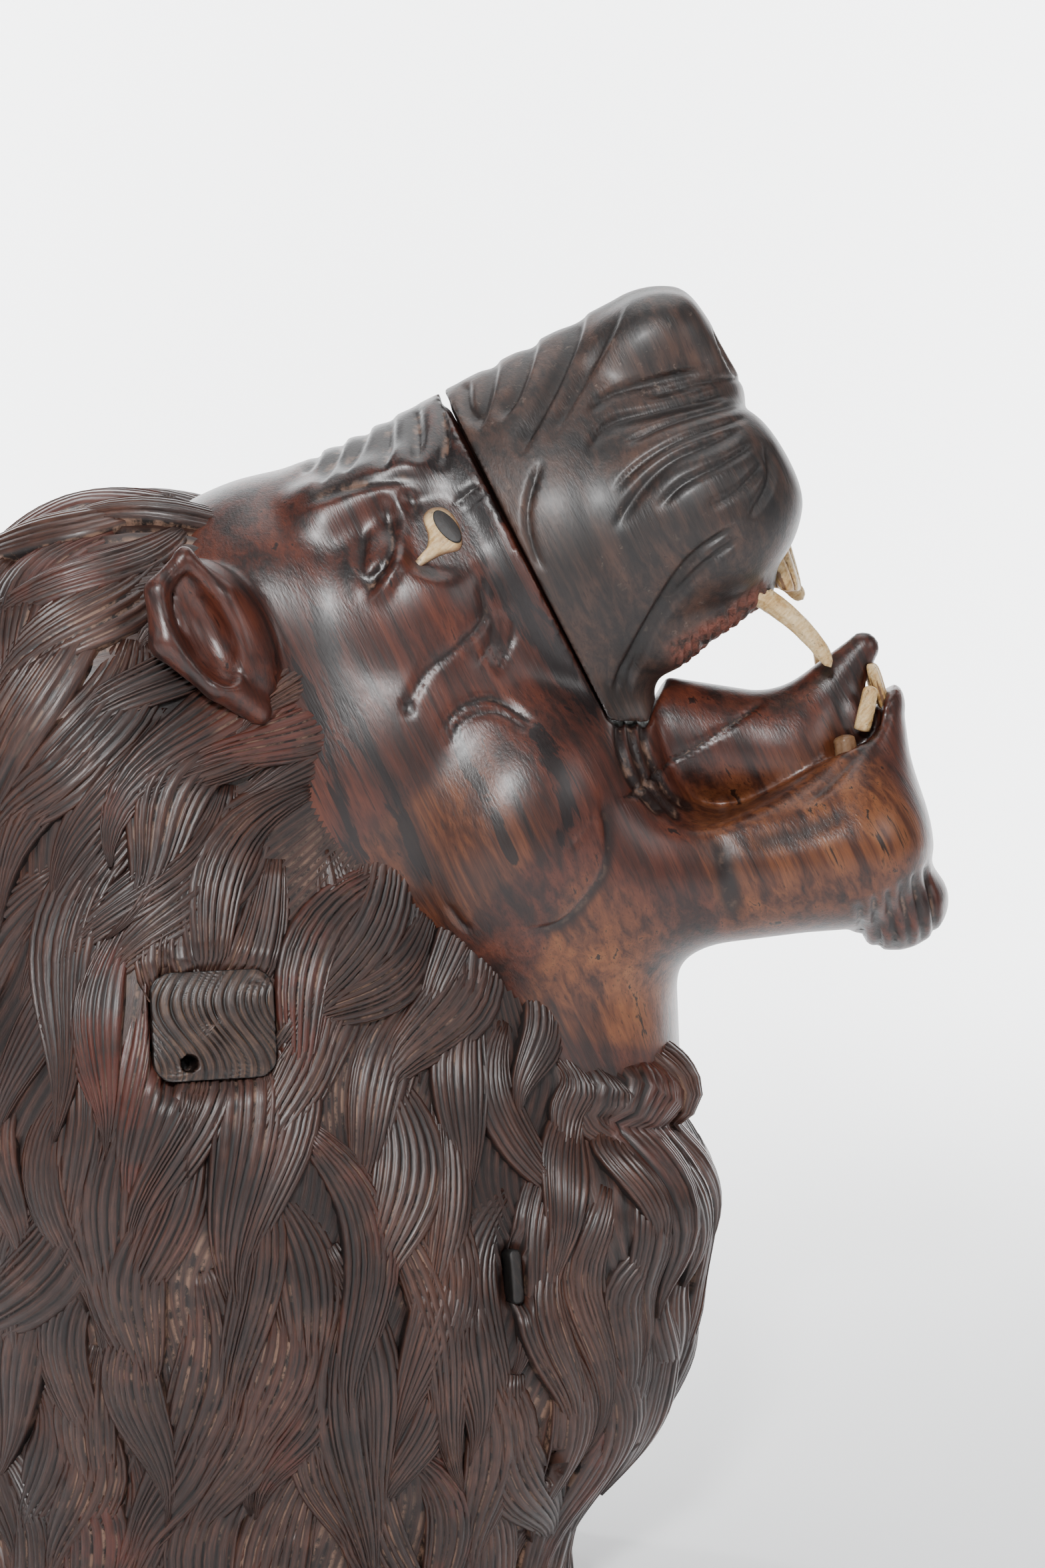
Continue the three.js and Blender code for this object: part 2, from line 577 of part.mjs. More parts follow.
function named(name, piece, material) {
  const mesh = cleaned(piece).getMesh();
  const geometry = new THREE.BufferGeometry();
  geometry.setAttribute('position', new THREE.BufferAttribute(mesh.vertProperties.slice(), 3));
  geometry.setIndex(new THREE.BufferAttribute(mesh.triVerts.slice(), 1));
  geometry.computeVertexNormals();
  const node = new THREE.Mesh(geometry, material);
  node.name = name;
  return node;
}

const rosewood = new THREE.MeshStandardMaterial({ color: '#5a3422', roughness: 0.38, metalness: 0 });
const darkRosewood = new THREE.MeshStandardMaterial({ color: '#3c2823', roughness: 0.34, metalness: 0 });
const bone = new THREE.MeshStandardMaterial({ color: '#e6d3ad', roughness: 0.45, metalness: 0 });
const horn = new THREE.MeshStandardMaterial({ color: '#1d1817', roughness: 0.3, metalness: 0 });
const patchWood = new THREE.MeshStandardMaterial({ color: '#6a4632', roughness: 0.5, metalness: 0 });

// Bone and horn first, because their beds are cut out of the wood
const eyeOutline = smoothOutline(EYE.outline, 18);
const pupilOutline = ovalOutline(PUPIL, 12);
const pupilPlace = { at: EYE.at, normal: EYE.normal, depth: PUPIL.depth, proud: EYE.proud + PUPIL.proud };
const pupil = inlay(pupilPlace, pupilOutline);
const eye = inlay(EYE, eyeOutline).subtract(inlay(pupilPlace, pupilOutline, GAP, 4));
const eyeBed = inlay(EYE, eyeOutline, GAP, 12);
const upperTeeth = [CANINE_UPPER, CANINE_UPPER_LEFT].map((t) => tooth(t));
const upperBeds = [CANINE_UPPER, CANINE_UPPER_LEFT].map((t) => tooth(t, GAP));
const lowerTeeth = [CANINE_LOWER_LEFT, CANINE_STUB, CORNER_INCISOR].map((t) => tooth(t));
const lowerBeds = [CANINE_LOWER_LEFT, CANINE_STUB, CORNER_INCISOR].map((t) => tooth(t, GAP));
const upperStrip = incisors(UPPER_INCISORS);
const lowerStrip = incisors(LOWER_INCISORS);

const patchOutline = roundedOutline(PATCH);
const pegOutline = roundedOutline(PEG);
const hole = {
  at: PATCH.at, normal: PATCH.normal, depth: PATCH_HOLE.depth - PATCH.proud, proud: PATCH.proud,
};
const holeOutline = ovalOutline({ centre: PATCH_HOLE.at, half: [PATCH_HOLE.r, PATCH_HOLE.r], turn: 0 }, 12);
const patch = inlay(PATCH, patchOutline).subtract(inlay(hole, holeOutline, 0, 6));
const peg = inlay(PEG, pegOutline);

// The muzzle block: what lies in front of the joint and above the mouth
const muzzleAlone = (x, y, z) => Math.max(upperHead(x, y, z), MUZZLE_NET.back - x, MUZZLE_NET.bottom - z);
const muzzle = surfaceNet(muzzleAlone, MUZZLE_NET).intersect(muzzleSpace(-JOINT_GAP / 2));
const muzzleBlock = [...upperBeds, incisors(UPPER_INCISORS, GAP)].reduce(
  (block, bed) => block.subtract(bed), muzzle,
);

// The main block: head, jaw, tongue, ears and mane in one
const ears = surfaceNet(ear, EAR_NET);
const mainBlock = [eyeBed, mirrored(eyeBed), ...lowerBeds, incisors(LOWER_INCISORS, GAP),
  inlay(PATCH, patchOutline, GAP, 20), inlay(PEG, pegOutline, GAP, 14)].reduce(
  (block, bed) => block.subtract(bed),
  surfaceNet(wholeHead, FACE_NET)
    .subtract(muzzleSpace(JOINT_GAP / 2))
    .add(maneSolid())
    .add(ears)
    .add(mirrored(ears)),
);

const lion = new THREE.Group();
lion.add(
  named('lion_head_and_mane', mainBlock, rosewood),
  named('snout_block', muzzleBlock, darkRosewood),
  named('eye_right', eye, bone),
  named('eye_left', mirrored(eye), bone),
  named('pupil_right', pupil, horn),
  named('pupil_left', mirrored(pupil), horn),
  named('upper_canine_right', upperTeeth[0], bone),
  named('upper_canine_left', upperTeeth[1], bone),
  named('upper_incisor_strip', upperStrip, bone),
  named('lower_canine_left', lowerTeeth[0], bone),
  named('lower_canine_stub_right', lowerTeeth[1], bone),
  named('lower_corner_incisor_right', lowerTeeth[2], bone),
  named('lower_incisor_strip', lowerStrip, bone),
  named('mane_repair_patch', patch, patchWood),
  named('mane_peg', peg, horn),
);

export default lion;
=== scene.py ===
import math

import bpy
import numpy as np
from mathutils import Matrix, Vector


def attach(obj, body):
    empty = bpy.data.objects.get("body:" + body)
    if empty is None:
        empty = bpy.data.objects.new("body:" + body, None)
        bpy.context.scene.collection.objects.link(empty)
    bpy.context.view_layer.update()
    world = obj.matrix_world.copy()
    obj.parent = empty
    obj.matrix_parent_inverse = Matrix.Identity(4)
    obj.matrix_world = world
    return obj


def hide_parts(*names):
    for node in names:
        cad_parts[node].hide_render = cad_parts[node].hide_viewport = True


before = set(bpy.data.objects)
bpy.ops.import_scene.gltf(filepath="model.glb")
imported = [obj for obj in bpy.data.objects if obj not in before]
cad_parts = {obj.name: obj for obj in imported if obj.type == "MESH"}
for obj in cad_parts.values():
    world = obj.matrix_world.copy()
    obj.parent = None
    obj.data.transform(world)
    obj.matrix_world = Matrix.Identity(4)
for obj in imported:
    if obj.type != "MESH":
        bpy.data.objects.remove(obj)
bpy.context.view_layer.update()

# The camera: a 60 mm view from the lion's right side, level with its eye and tipped down a little, as in
# the photograph. Its film is measured on the long side, which is upright.
CAMERA = {"at": (0.106, -0.9739, 0.4252), "tipped": 6.4, "lens": 60.0, "film": 36.0}

camera_data = bpy.data.cameras.new("camera")
camera_data.sensor_fit = "VERTICAL"
camera_data.sensor_height = CAMERA["film"]
camera_data.lens = CAMERA["lens"]
camera = bpy.data.objects.new("camera", camera_data)
camera.location = CAMERA["at"]
camera.rotation_euler = (math.radians(90 - CAMERA["tipped"]), 0, 0)
bpy.context.collection.objects.link(camera)
bpy.context.scene.camera = camera

# The main block of rosewood: head, lower jaw, tongue and ears, carved in one with the mane, rubbed smooth
# and waxed. Red-brown heartwood with black streaks; the carved lines were cut with a small gouge.
# All sizes are millimetres: +X is the way the lion looks, +Y its left side, +Z up.
HEAD = (
    {"at": (6, 0, 374), "half": (74, 60, 52), "tilt": 20, "soft": 1},
    {"start": (20, 0, 386), "end": (84, 0, 412), "radius": (42, 38), "soft": 16},
    {"at": (52, 14, 325), "half": (66, 50, 88), "tilt": -28, "soft": 20},
    {"start": (36, 32, 416), "end": (64, 31, 430), "radius": (13, 10), "soft": 10},
    {"at": (66, 38, 384), "half": (28, 20, 26), "tilt": 10, "soft": 12},
    {"at": (100, 37, 303), "half": (36, 32, 46), "tilt": -12, "soft": 10},
    {"at": (108, 0, 300), "half": (56, 56, 76), "tilt": -10, "soft": 24},
    {"start": (116, 0, 290), "end": (122, 0, 205), "radius": (46, 44), "soft": 16},
)
SNOUT = (
    {"start": (60, 0, 408), "end": (157, 0, 467), "radius": (40, 33), "flat": 1.15, "soft": 1},
    {"at": (122, 10, 404), "half": (60, 40, 58), "tilt": 28, "soft": 16},
    {"at": (166, 21, 420), "half": (42, 33, 38), "tilt": 20, "soft": 10},
    {"at": (151, 18, 479), "half": (21, 12, 14), "tilt": 28, "soft": 8},
    {"start": (158, 20, 371), "end": (189, 16, 391), "radius": (10, 9), "soft": 8},
)
JAW = (
    {"start": (150, 20, 286), "end": (226, 11, 294), "radius": (30, 30), "soft": 1},
    {"start": (226, 0, 300), "end": (234, 0, 345), "radius": (30, 15), "soft": 16},
    {"at": (248, 0, 270), "half": (19, 22, 16), "tilt": 30, "soft": 8},
)
TONGUE = (
    {"start": (160, 0, 333), "end": (205, 0, 328), "radius": (23, 21), "flat": 1.25, "soft": 1},
    {"start": (205, 0, 330), "end": (233, 0, 367), "radius": (19, 6), "flat": 1.25, "soft": 8},
    {"at": (229, 0, 340), "half": (8, 11, 15), "tilt": 10, "soft": 4},
)
EAR = (
    {"at": (2, 60, 374), "half": (16, 16, 30), "tilt": 25, "soft": 1},
    {"at": (-2, 68, 377), "half": (13, 9, 26), "tilt": 25, "soft": 4},
    {"start": (-10, 75, 403), "end": (-18, 80, 391), "radius": (2.8, 5), "soft": 3},
    {"start": (-18, 80, 391), "end": (-15, 81, 374), "radius": (5, 6.5), "soft": 2},
    {"start": (-15, 81, 374), "end": (2, 78, 360), "radius": (6.5, 6.5), "soft": 2},
    {"start": (2, 78, 360), "end": (14, 68, 349), "radius": (6.5, 5), "soft": 2},
    {"start": (-10, 75, 403), "end": (3, 71, 389), "radius": (2.8, 3.6), "soft": 3},
    {"start": (3, 71, 389), "end": (14, 65, 368), "radius": (3.6, 4.5), "soft": 3},
)
EAR_HOLLOW = {"at": (-2, 82, 378), "half": (9, 12, 21), "tilt": 27, "soft": 3}
MOUTH_FLOOR = {"start": (168, 12, 330), "end": (222, 7, 344), "radius": (22, 17), "soft": 4}
RIM = {"back": 150, "height": 302, "rise": 0.0058, "slope": 0.8, "soft": 4}
NOSE_PLANE = {"at": (172, 490), "normal": (0.87, 0.5), "soft": 5}
HEAD_JOINS = {"muzzle": 12, "jaw": 22, "tongue": 3, "ear": 4}
# The glued joint and the middle line of the open mouth, seen from the side, and the joint's open width
JOINT = ((51, 509), (77, 460), (137, 343), (152, 341), (160, 357), (170, 361), (182, 365), (196, 367),
         (206, 374), (250, 395), (320, 420))
JOINT_OPEN = {"narrow": 0.6, "wide": 2.4, "inside": 0.2, "low": 345, "high": 480, "shallow": 3, "deep": 8}
# Hidden in the mane, the head ends on a plane this far behind the edge of the face
FACE_EDGE = {"at": (20, 345), "normal": (-0.876, -0.482), "hidden": 36}


def blend(a, b, soft):
    """Two distances melted into one: the smaller, less (soft - |a - b|)^2 / (4 soft) if that near."""
    return np.minimum(a, b) - np.maximum(soft - np.abs(a - b), 0) ** 2 / (4 * soft)


def cut_by(a, b, soft):
    """The first shape without the second: blend of both with their signs turned."""
    return -blend(-a, b, soft)


def smoothstep(low, high, value):
    """0 below low, 1 above high, and 3t^2 - 2t^3 between them."""
    t = np.clip((value - low) / (high - low), 0, 1)
    return t * t * (3 - 2 * t)


def ball(x, y, z, mass):
    """About the distance to a tilted ball: k (k - 1) / |gradient of k|, k being the length of p / half."""
    turn = math.radians(mass["tilt"])
    u, v, w = x - mass["at"][0], y - mass["at"][1], z - mass["at"][2]
    a = u * math.cos(turn) + w * math.sin(turn)
    c = w * math.cos(turn) - u * math.sin(turn)
    ra, rb, rc = mass["half"]
    k = np.sqrt((a / ra) ** 2 + (v / rb) ** 2 + (c / rc) ** 2) + 1e-9
    g = np.sqrt((a / ra ** 2) ** 2 + (v / rb ** 2) ** 2 + (c / rc ** 2) ** 2) + 1e-9
    return k * (k - 1) / g


def bar(x, y, z, mass):
    """Distance to a bar between two points less its radius, which runs from one value to the other; y may
    be stretched first, which flattens the bar."""
    flat = mass.get("flat", 1)
    start, end = np.array(mass["start"], float), np.array(mass["end"], float)
    run = (end - start) * (1, flat, 1)
    p, q, r = x - start[0], (y - start[1]) * flat, z - start[2]
    t = np.clip((p * run[0] + q * run[1] + r * run[2]) / (run @ run), 0, 1)
    off = np.sqrt((p - t * run[0]) ** 2 + (q - t * run[1]) ** 2 + (r - t * run[2]) ** 2)
    first, last = mass["radius"]
    return (off - first - t * (last - first)) / math.sqrt(flat)


def melt(x, y, z, masses):
    """All masses blended one after the other, each over its own width."""
    whole = np.full(np.shape(x), 1e3)
    for mass in masses:
        shape = ball if "half" in mass else bar
        whole = blend(whole, shape(x, y, z, mass), mass["soft"])
    return whole


def upper_head(x, y, z):
    """Skull and muzzle, the muzzle cut flat by the plane of the nose."""
    (px, pz), (nx, nz) = NOSE_PLANE["at"], NOSE_PLANE["normal"]
    front = (x - px) * nx + (z - pz) * nz
    muzzle = cut_by(melt(x, np.abs(y), z, SNOUT), -front, NOSE_PLANE["soft"])
    return blend(melt(x, np.abs(y), z, HEAD), muzzle, HEAD_JOINS["muzzle"])


def lower_jaw(x, y, z):
    """The jaw cut off by its rim, which rises forward as a parabola, and hollowed by the mouth floor."""
    rim = RIM["height"] + RIM["rise"] * np.maximum(x - RIM["back"], 0) ** 2
    trough = cut_by(melt(x, np.abs(y), z, JAW), (rim - z) * RIM["slope"], RIM["soft"])
    return cut_by(trough, bar(x, np.abs(y), z, MOUTH_FLOOR), MOUTH_FLOOR["soft"])


def polyline_side(u, v, line):
    """Signed distance in a plane to a run of straight pieces, positive on its left, and how far along it
    the nearest place lies, from 0 to 1."""
    line = np.asarray(line, float)
    piece = np.diff(line, axis=0)
    length = np.hypot(piece[:, 0], piece[:, 1])
    p = u[:, None] - line[:-1, 0]
    q = v[:, None] - line[:-1, 1]
    t = np.clip((p * piece[:, 0] + q * piece[:, 1]) / length ** 2, 0, 1)
    gap = np.hypot(p - t * piece[:, 0], q - t * piece[:, 1])
    nearest = gap.argmin(1)
    row = np.arange(len(u))
    turn = piece[nearest, 0] * q[row, nearest] - piece[nearest, 1] * p[row, nearest]
    start = np.concatenate(([0], np.cumsum(length)[:-1]))
    along = (start[nearest] + t[row, nearest] * length[nearest]) / length.sum()
    return np.where(turn > 0, 1, -1) * gap[row, nearest], along


def past_joint(x, y, z):
    """How far in front of the joint and above the mouth line a place lies, and half the open width there,
    which grows upwards and closes inside the wood."""
    side = polyline_side(x.ravel(), z.ravel(), JOINT)[0].reshape(x.shape)
    rise = np.clip((z - JOINT_OPEN["low"]) / (JOINT_OPEN["high"] - JOINT_OPEN["low"]), 0, 1)
    opening = JOINT_OPEN["narrow"] + (JOINT_OPEN["wide"] - JOINT_OPEN["narrow"]) * rise
    inside = smoothstep(JOINT_OPEN["shallow"], JOINT_OPEN["deep"], -upper_head(x, y, z))
    return side, (opening + (JOINT_OPEN["inside"] - opening) * inside) / 2


def main_block(x, y, z):
    """Head, jaw, tongue and ears, cut along the joint and ended behind the edge of the face."""
    whole = blend(upper_head(x, y, z), lower_jaw(x, y, z), HEAD_JOINS["jaw"])
    whole = blend(whole, melt(x, np.abs(y), z, TONGUE), HEAD_JOINS["tongue"])
    side, half_open = past_joint(x, y, z)
    whole = np.maximum(whole, side + half_open)
    ear = cut_by(melt(x, np.abs(y), z, EAR), ball(x, np.abs(y), z, EAR_HOLLOW), EAR_HOLLOW["soft"])
    whole = blend(whole, ear, HEAD_JOINS["ear"])
    (px, pz), (nx, nz) = FACE_EDGE["at"], FACE_EDGE["normal"]
    return np.maximum(whole, (x - px) * nx + (z - pz) * nz - FACE_EDGE["hidden"])


# The net's blocks: cells along a side, and within how many block sides of the surface a block counts
BLOCK = {"cells": 6, "near": 1.4}


def carved_net(field, low, high, step):
    """Surface net of a field that is negative inside: one point in each grid cell that the surface
    crosses, at the mean of its crossings, and one four-sided face around each crossed grid edge. The field
    is worked out fully only in blocks of cells near the surface."""
    low = np.array(low, float)
    cells = BLOCK["cells"]
    blocks = np.ceil((np.array(high) - low) / (step * cells)).astype(int)
    corner = np.indices(blocks).reshape(3, -1).T
    far = field(*(low + step * (cells * corner + (cells - 1) / 2)).T)
    value = far.reshape(blocks)
    for axis in range(3):
        value = np.repeat(value, cells, axis)
    near = corner[np.abs(far) < BLOCK["near"] * step * cells]
    inner = np.indices((cells,) * 3).reshape(3, -1).T
    cell = (near[:, None] * cells + inner).reshape(-1, 3)
    value[tuple(cell.T)] = field(*(low + step * cell).T)
    crossings, rings = [], []
    for axis in range(3):
        first = np.take(value, range(value.shape[axis] - 1), axis)
        second = np.take(value, range(1, value.shape[axis]), axis)
        place = np.argwhere((first < 0) != (second < 0))
        f, g = first[tuple(place.T)], second[tuple(place.T)]
        point = place.astype(float)
        point[:, axis] += f / (f - g)
        ring = np.repeat(place[:, None], 4, 1)
        ring[:, (1, 2), (axis + 1) % 3] -= 1
        ring[:, (2, 3), (axis + 2) % 3] -= 1
        ring[f >= 0] = ring[f >= 0][:, ::-1]
        crossings.append(point)
        rings.append(np.ravel_multi_index(tuple(np.moveaxis(ring, 2, 0)), value.shape))
    crossing, ring = np.concatenate(crossings), np.concatenate(rings)
    used, faces = np.unique(ring, return_inverse=True)
    faces = faces.reshape(-1, 4)
    share = np.bincount(faces.ravel())
    mean = [np.bincount(faces.ravel(), np.repeat(crossing[:, k], 4)) / share for k in range(3)]
    return low + step * np.stack(mean, 1), faces


def ring_faces(rows, columns, turned=False):
    """The four-sided faces between rings of points that lie row after row, each ring closed; turned gives
    them the other side out."""
    r, c = np.meshgrid(np.arange(rows - 1) * columns, np.arange(columns), indexing="ij")
    after = (c + 1) % columns
    faces = np.stack((r + c, r + after, r + columns + after, r + columns + c), -1).reshape(-1, 4)
    return faces[:, [0, 3, 2, 1]] if turned else faces


def closed_ends(rings):
    """Rings of points with each end ring once more, drawn together at its middle, so the shape closes."""
    first, last = (np.broadcast_to(ring.mean(-2, keepdims=True), ring.shape)
                   for ring in (rings[..., :1, :, :], rings[..., -1:, :, :]))
    return np.concatenate((first, rings, last), -3)


def normals_of(points, faces):
    """The sum of the square normals of the faces around each point, made one long."""
    across = np.cross(points[faces[:, 2]] - points[faces[:, 0]], points[faces[:, 3]] - points[faces[:, 1]])
    corners = faces.ravel()
    total = np.stack([np.bincount(corners, np.repeat(across[:, k], 4), len(points)) for k in range(3)], 1)
    return total / (np.linalg.norm(total, axis=1)[:, None] + 1e-12)


def smooth_run(points, count):
    """A smooth curve through the points: on each piece the Catmull-Rom cubic of its four neighbours."""
    points = np.asarray(points, float)
    padded = np.concatenate((2 * points[:1] - points[1:2], points, 2 * points[-1:] - points[-2:-1]))
    t = np.linspace(0, len(points) - 1, count)
    i = np.minimum(t.astype(int), len(points) - 2)
    t = (t - i)[:, None]
    a, b, c, d = padded[i], padded[i + 1], padded[i + 2], padded[i + 3]
    bend, twist = 2 * a - 5 * b + 4 * c - d, 3 * b - a - 3 * c + d
    return 0.5 * (2 * b + (c - a) * t + bend * t ** 2 + twist * t ** 3)


# Drawn lines: points on the run for each point given, how many widths a cut reaches, how far wood may face
# the other way and still be cut, and the share of a painted stroke over which its ends fade
LINE = {"fine": 6, "reach": 2.5, "facing": -2, "fade": (-0.02, 0.12)}


def gouge(points, normals, cuts):
    """How far each point moves out for cuts drawn in side view. A cut (line, depth, left, right, end) is
    depth exp(-(s / width)^2), with one width on each side of its line, and fades over its ends."""
    moved = np.zeros(len(points))
    for line, depth, left, right, end in cuts:
        run = smooth_run(line, LINE["fine"] * len(line))
        reach = LINE["reach"] * max(left, right)
        inside = ((points[:, (0, 2)] > run.min(0) - reach) & (points[:, (0, 2)] < run.max(0) + reach)).all(1)
        outside = normals[:, 1] * points[:, 1] > LINE["facing"]
        which = np.flatnonzero(inside & outside)
        side, along = polyline_side(points[which, 0], points[which, 2], run)
        width = np.where(side > 0, left, right)
        ends = smoothstep(0, end, along) * smoothstep(0, end, 1 - along) if end else 1
        moved[which] -= depth * np.exp(-(side / width) ** 2) * ends
    return moved


# Lines cut into the face, side view: (line, depth, width on its left, width on its right, fading end)
FACE_CUTS = (
    (((31, 444), (30, 436), (25, 431)), 1.6, 1.1, 3, 0.25),
    (((41, 449), (38, 437), (33, 427)), 1.8, 1.1, 3.4, 0.25),
    (((50, 452), (47, 441), (41, 431)), 2.0, 1.1, 3.6, 0.25),
    (((58, 455), (58, 442), (56, 432)), 2.0, 1.1, 3.6, 0.25),
    (((67, 458), (69, 445), (69, 434)), 2.0, 1.1, 3.6, 0.25),
    (((76, 462), (79, 444), (77, 431)), 1.6, 1.1, 3.0, 0.25),
    (((22, 418), (42, 426), (61, 429), (78, 428)), 1.5, 4, 2, 0.3),
    (((59, 427), (64, 415), (65, 405), (58, 392), (54, 384)), -2.2, 2.2, 2.2, 0.25),
    (((56, 426), (59, 415), (60, 405), (53, 392), (50, 384)), 1.4, 1.2, 2.4, 0.25),
    (((64, 428), (69, 416), (69, 405)), 1.2, 1.2, 1.8, 0.25),
    (((51, 415), (50, 404), (51, 395), (61, 403)), 1.1, 1.0, 3, 0.2),
    (((80, 419), (86, 424), (91, 428)), 1.2, 0.9, 0.9, 0.2),
    (((83, 416), (88, 421), (92, 424)), 1.0, 0.8, 0.8, 0.2),
    (((91, 395), (93, 381), (83, 370), (73, 362), (66, 350)), 1.1, 0.9, 2.2, 0.1),
    (((102, 385), (103, 375), (96, 359)), 1.0, 0.8, 1.6, 0.2),
    (((98, 384), (99, 376), (94, 361)), 0.9, 0.8, 1.2, 0.2),
    (((94, 386), (96, 375), (90, 362)), 0.9, 0.8, 1.2, 0.2),
    (((66, 351), (66, 349)), 1.8, 1.6, 1.6, 0),
    (((77, 338), (83, 348), (96, 352), (112, 342)), 1.3, 1.4, 1.0, 0.15),
    (((79, 335), (85, 345), (97, 348), (110, 340)), 1.0, 0.9, 1.6, 0.15),
    (((133, 322), (136, 305), (134, 290), (120, 273), (103, 271)), 1.2, 3.5, 1.2, 0.2),
    (((79, 280), (84, 273), (88, 270)), 1.0, 1.6, 1.0, 0.2),
    (((141, 347), (142, 333), (147, 321), (158, 309)), 2.2, 1.2, 2.2, 0.12),
    (((145, 347), (147, 333), (153, 319), (165, 306)), 2.0, 1.2, 2.0, 0.12),
    (((150, 346), (152, 331), (160, 316), (171, 309)), 2.0, 1.2, 2.0, 0.12),
    (((138, 316), (147, 318), (159, 325), (166, 329), (180, 338), (197, 349)), 1.6, 0.7, 0.7, 0.1),
    (((120, 297), (138, 316)), 0.5, 0.6, 0.6, 0.3),
    (((139, 348), (145, 346), (150, 346)), 1.6, 0.8, 0.8, 0.1),
    (((246, 352), (241, 342), (230, 330), (217, 318), (204, 310)), 0.8, 0.9, 2.4, 0.2),
    (((179, 302), (194, 300), (213, 305), (231, 316)), 0.9, 4, 4, 0.3),
    (((174, 308), (178, 294), (184, 265)), 1.2, 5, 5, 0.3),
)
# Hair carved on the chin tuft, as grooves that fan down and forward: three places on the first groove, each
# with its step to the next groove
TUFT_LINE = ((228, 278, 5.2, 2.4), (231, 266, 5.4, 1.8), (236, 250, 5.0, 1.5))
TUFT = {"grooves": 6, "depth": 1.6, "left": 1.0, "right": 1.4, "end": 0.15}
TUFT_CUTS = tuple(
    (tuple((x + across * n, z + down * n) for x, z, across, down in TUFT_LINE),
     TUFT["depth"], TUFT["left"], TUFT["right"], TUFT["end"])
    for n in range(TUFT["grooves"])
)
FACE_STEP = 1.6
face_points, face_faces = carved_net(main_block, (-80, -104, 150), (284, 104, 505), FACE_STEP)
face_normals = normals_of(face_points, face_faces)
face_moved = gouge(face_points, face_normals, FACE_CUTS + TUFT_CUTS)
face_points = face_points + face_normals * face_moved[:, None]

# Each bone eye is let into a flat place; the wood around it is brought to the plane of the inlay
EYE = {"at": (77.5, 46.4, 408.9), "normal": (0.05, 0.93, 0.36), "flat": 10.5, "soft": 9, "sunk": 0.4,
       "near": 10, "far": 20}
for hand in (-1, 1):
    eye_middle = np.array(EYE["at"]) * (1, hand, 1)
    eye_out = np.array(EYE["normal"]) * (1, hand, 1) / np.linalg.norm(EYE["normal"])
    from_eye = face_points - eye_middle
    height = from_eye @ eye_out
    aside = np.linalg.norm(from_eye - height[:, None] * eye_out, axis=1)
    share = 1 - smoothstep(EYE["flat"], EYE["flat"] + EYE["soft"], aside)
    share *= 1 - smoothstep(EYE["near"], EYE["far"], np.abs(height))
    face_points -= ((height + EYE["sunk"]) * share)[:, None] * eye_out


def painted(points, strokes):
    """How strongly each point lies in strokes drawn in side view: 1 within the half width of a stroke's
    line, 0 beyond it by its soft edge, and fading over the ends."""
    total = np.zeros(len(points))
    for line, half, soft in strokes:
        side, along = polyline_side(points[:, 0], points[:, 2], smooth_run(line, LINE["fine"] * len(line)))
        ends = smoothstep(*LINE["fade"], along) * smoothstep(*LINE["fade"], 1 - along)
        total = np.maximum(total, (1 - smoothstep(half - soft, half + soft, np.abs(side))) * ends)
    return total


def carving(name, points, faces, marks, unwrapped=None):
    """A smooth mesh piece from points in millimetres and faces with equally many corners, with a value on
    each point for every mark and, if given, a UV place for each point."""
    mesh = bpy.data.meshes.new(name)
    mesh.vertices.add(len(points))
    mesh.vertices.foreach_set("co", (points * 0.001).ravel())
    mesh.loops.add(faces.size)
    mesh.loops.foreach_set("vertex_index", faces.ravel())
    mesh.polygons.add(len(faces))
    mesh.polygons.foreach_set("loop_start", np.arange(0, faces.size, faces.shape[1]))
    mesh.polygons.foreach_set("use_smooth", np.ones(len(faces), bool))
    for mark, values in marks.items():
        mesh.attributes.new(mark, "FLOAT", "POINT").data.foreach_set("value", values)
    if unwrapped is not None:
        layer = mesh.uv_layers.new(name="UVMap")
        layer.data.foreach_set("uv", unwrapped[faces.ravel()].ravel())
    mesh.update(calc_edges=True)
    mesh.validate()
    made = bpy.data.objects.new(name, mesh)
    bpy.context.collection.objects.link(made)
    return made


def shade(hex_color):
    """The linear colour of a hex sRGB value: ((c + 0.055) / 1.055)^2.4, or c / 12.92 near black."""
    values = [int(hex_color[i:i + 2], 16) / 255 for i in (1, 3, 5)]
    return (*(((c + 0.055) / 1.055) ** 2.4 if c > 0.04 else c / 12.92 for c in values), 1.0)


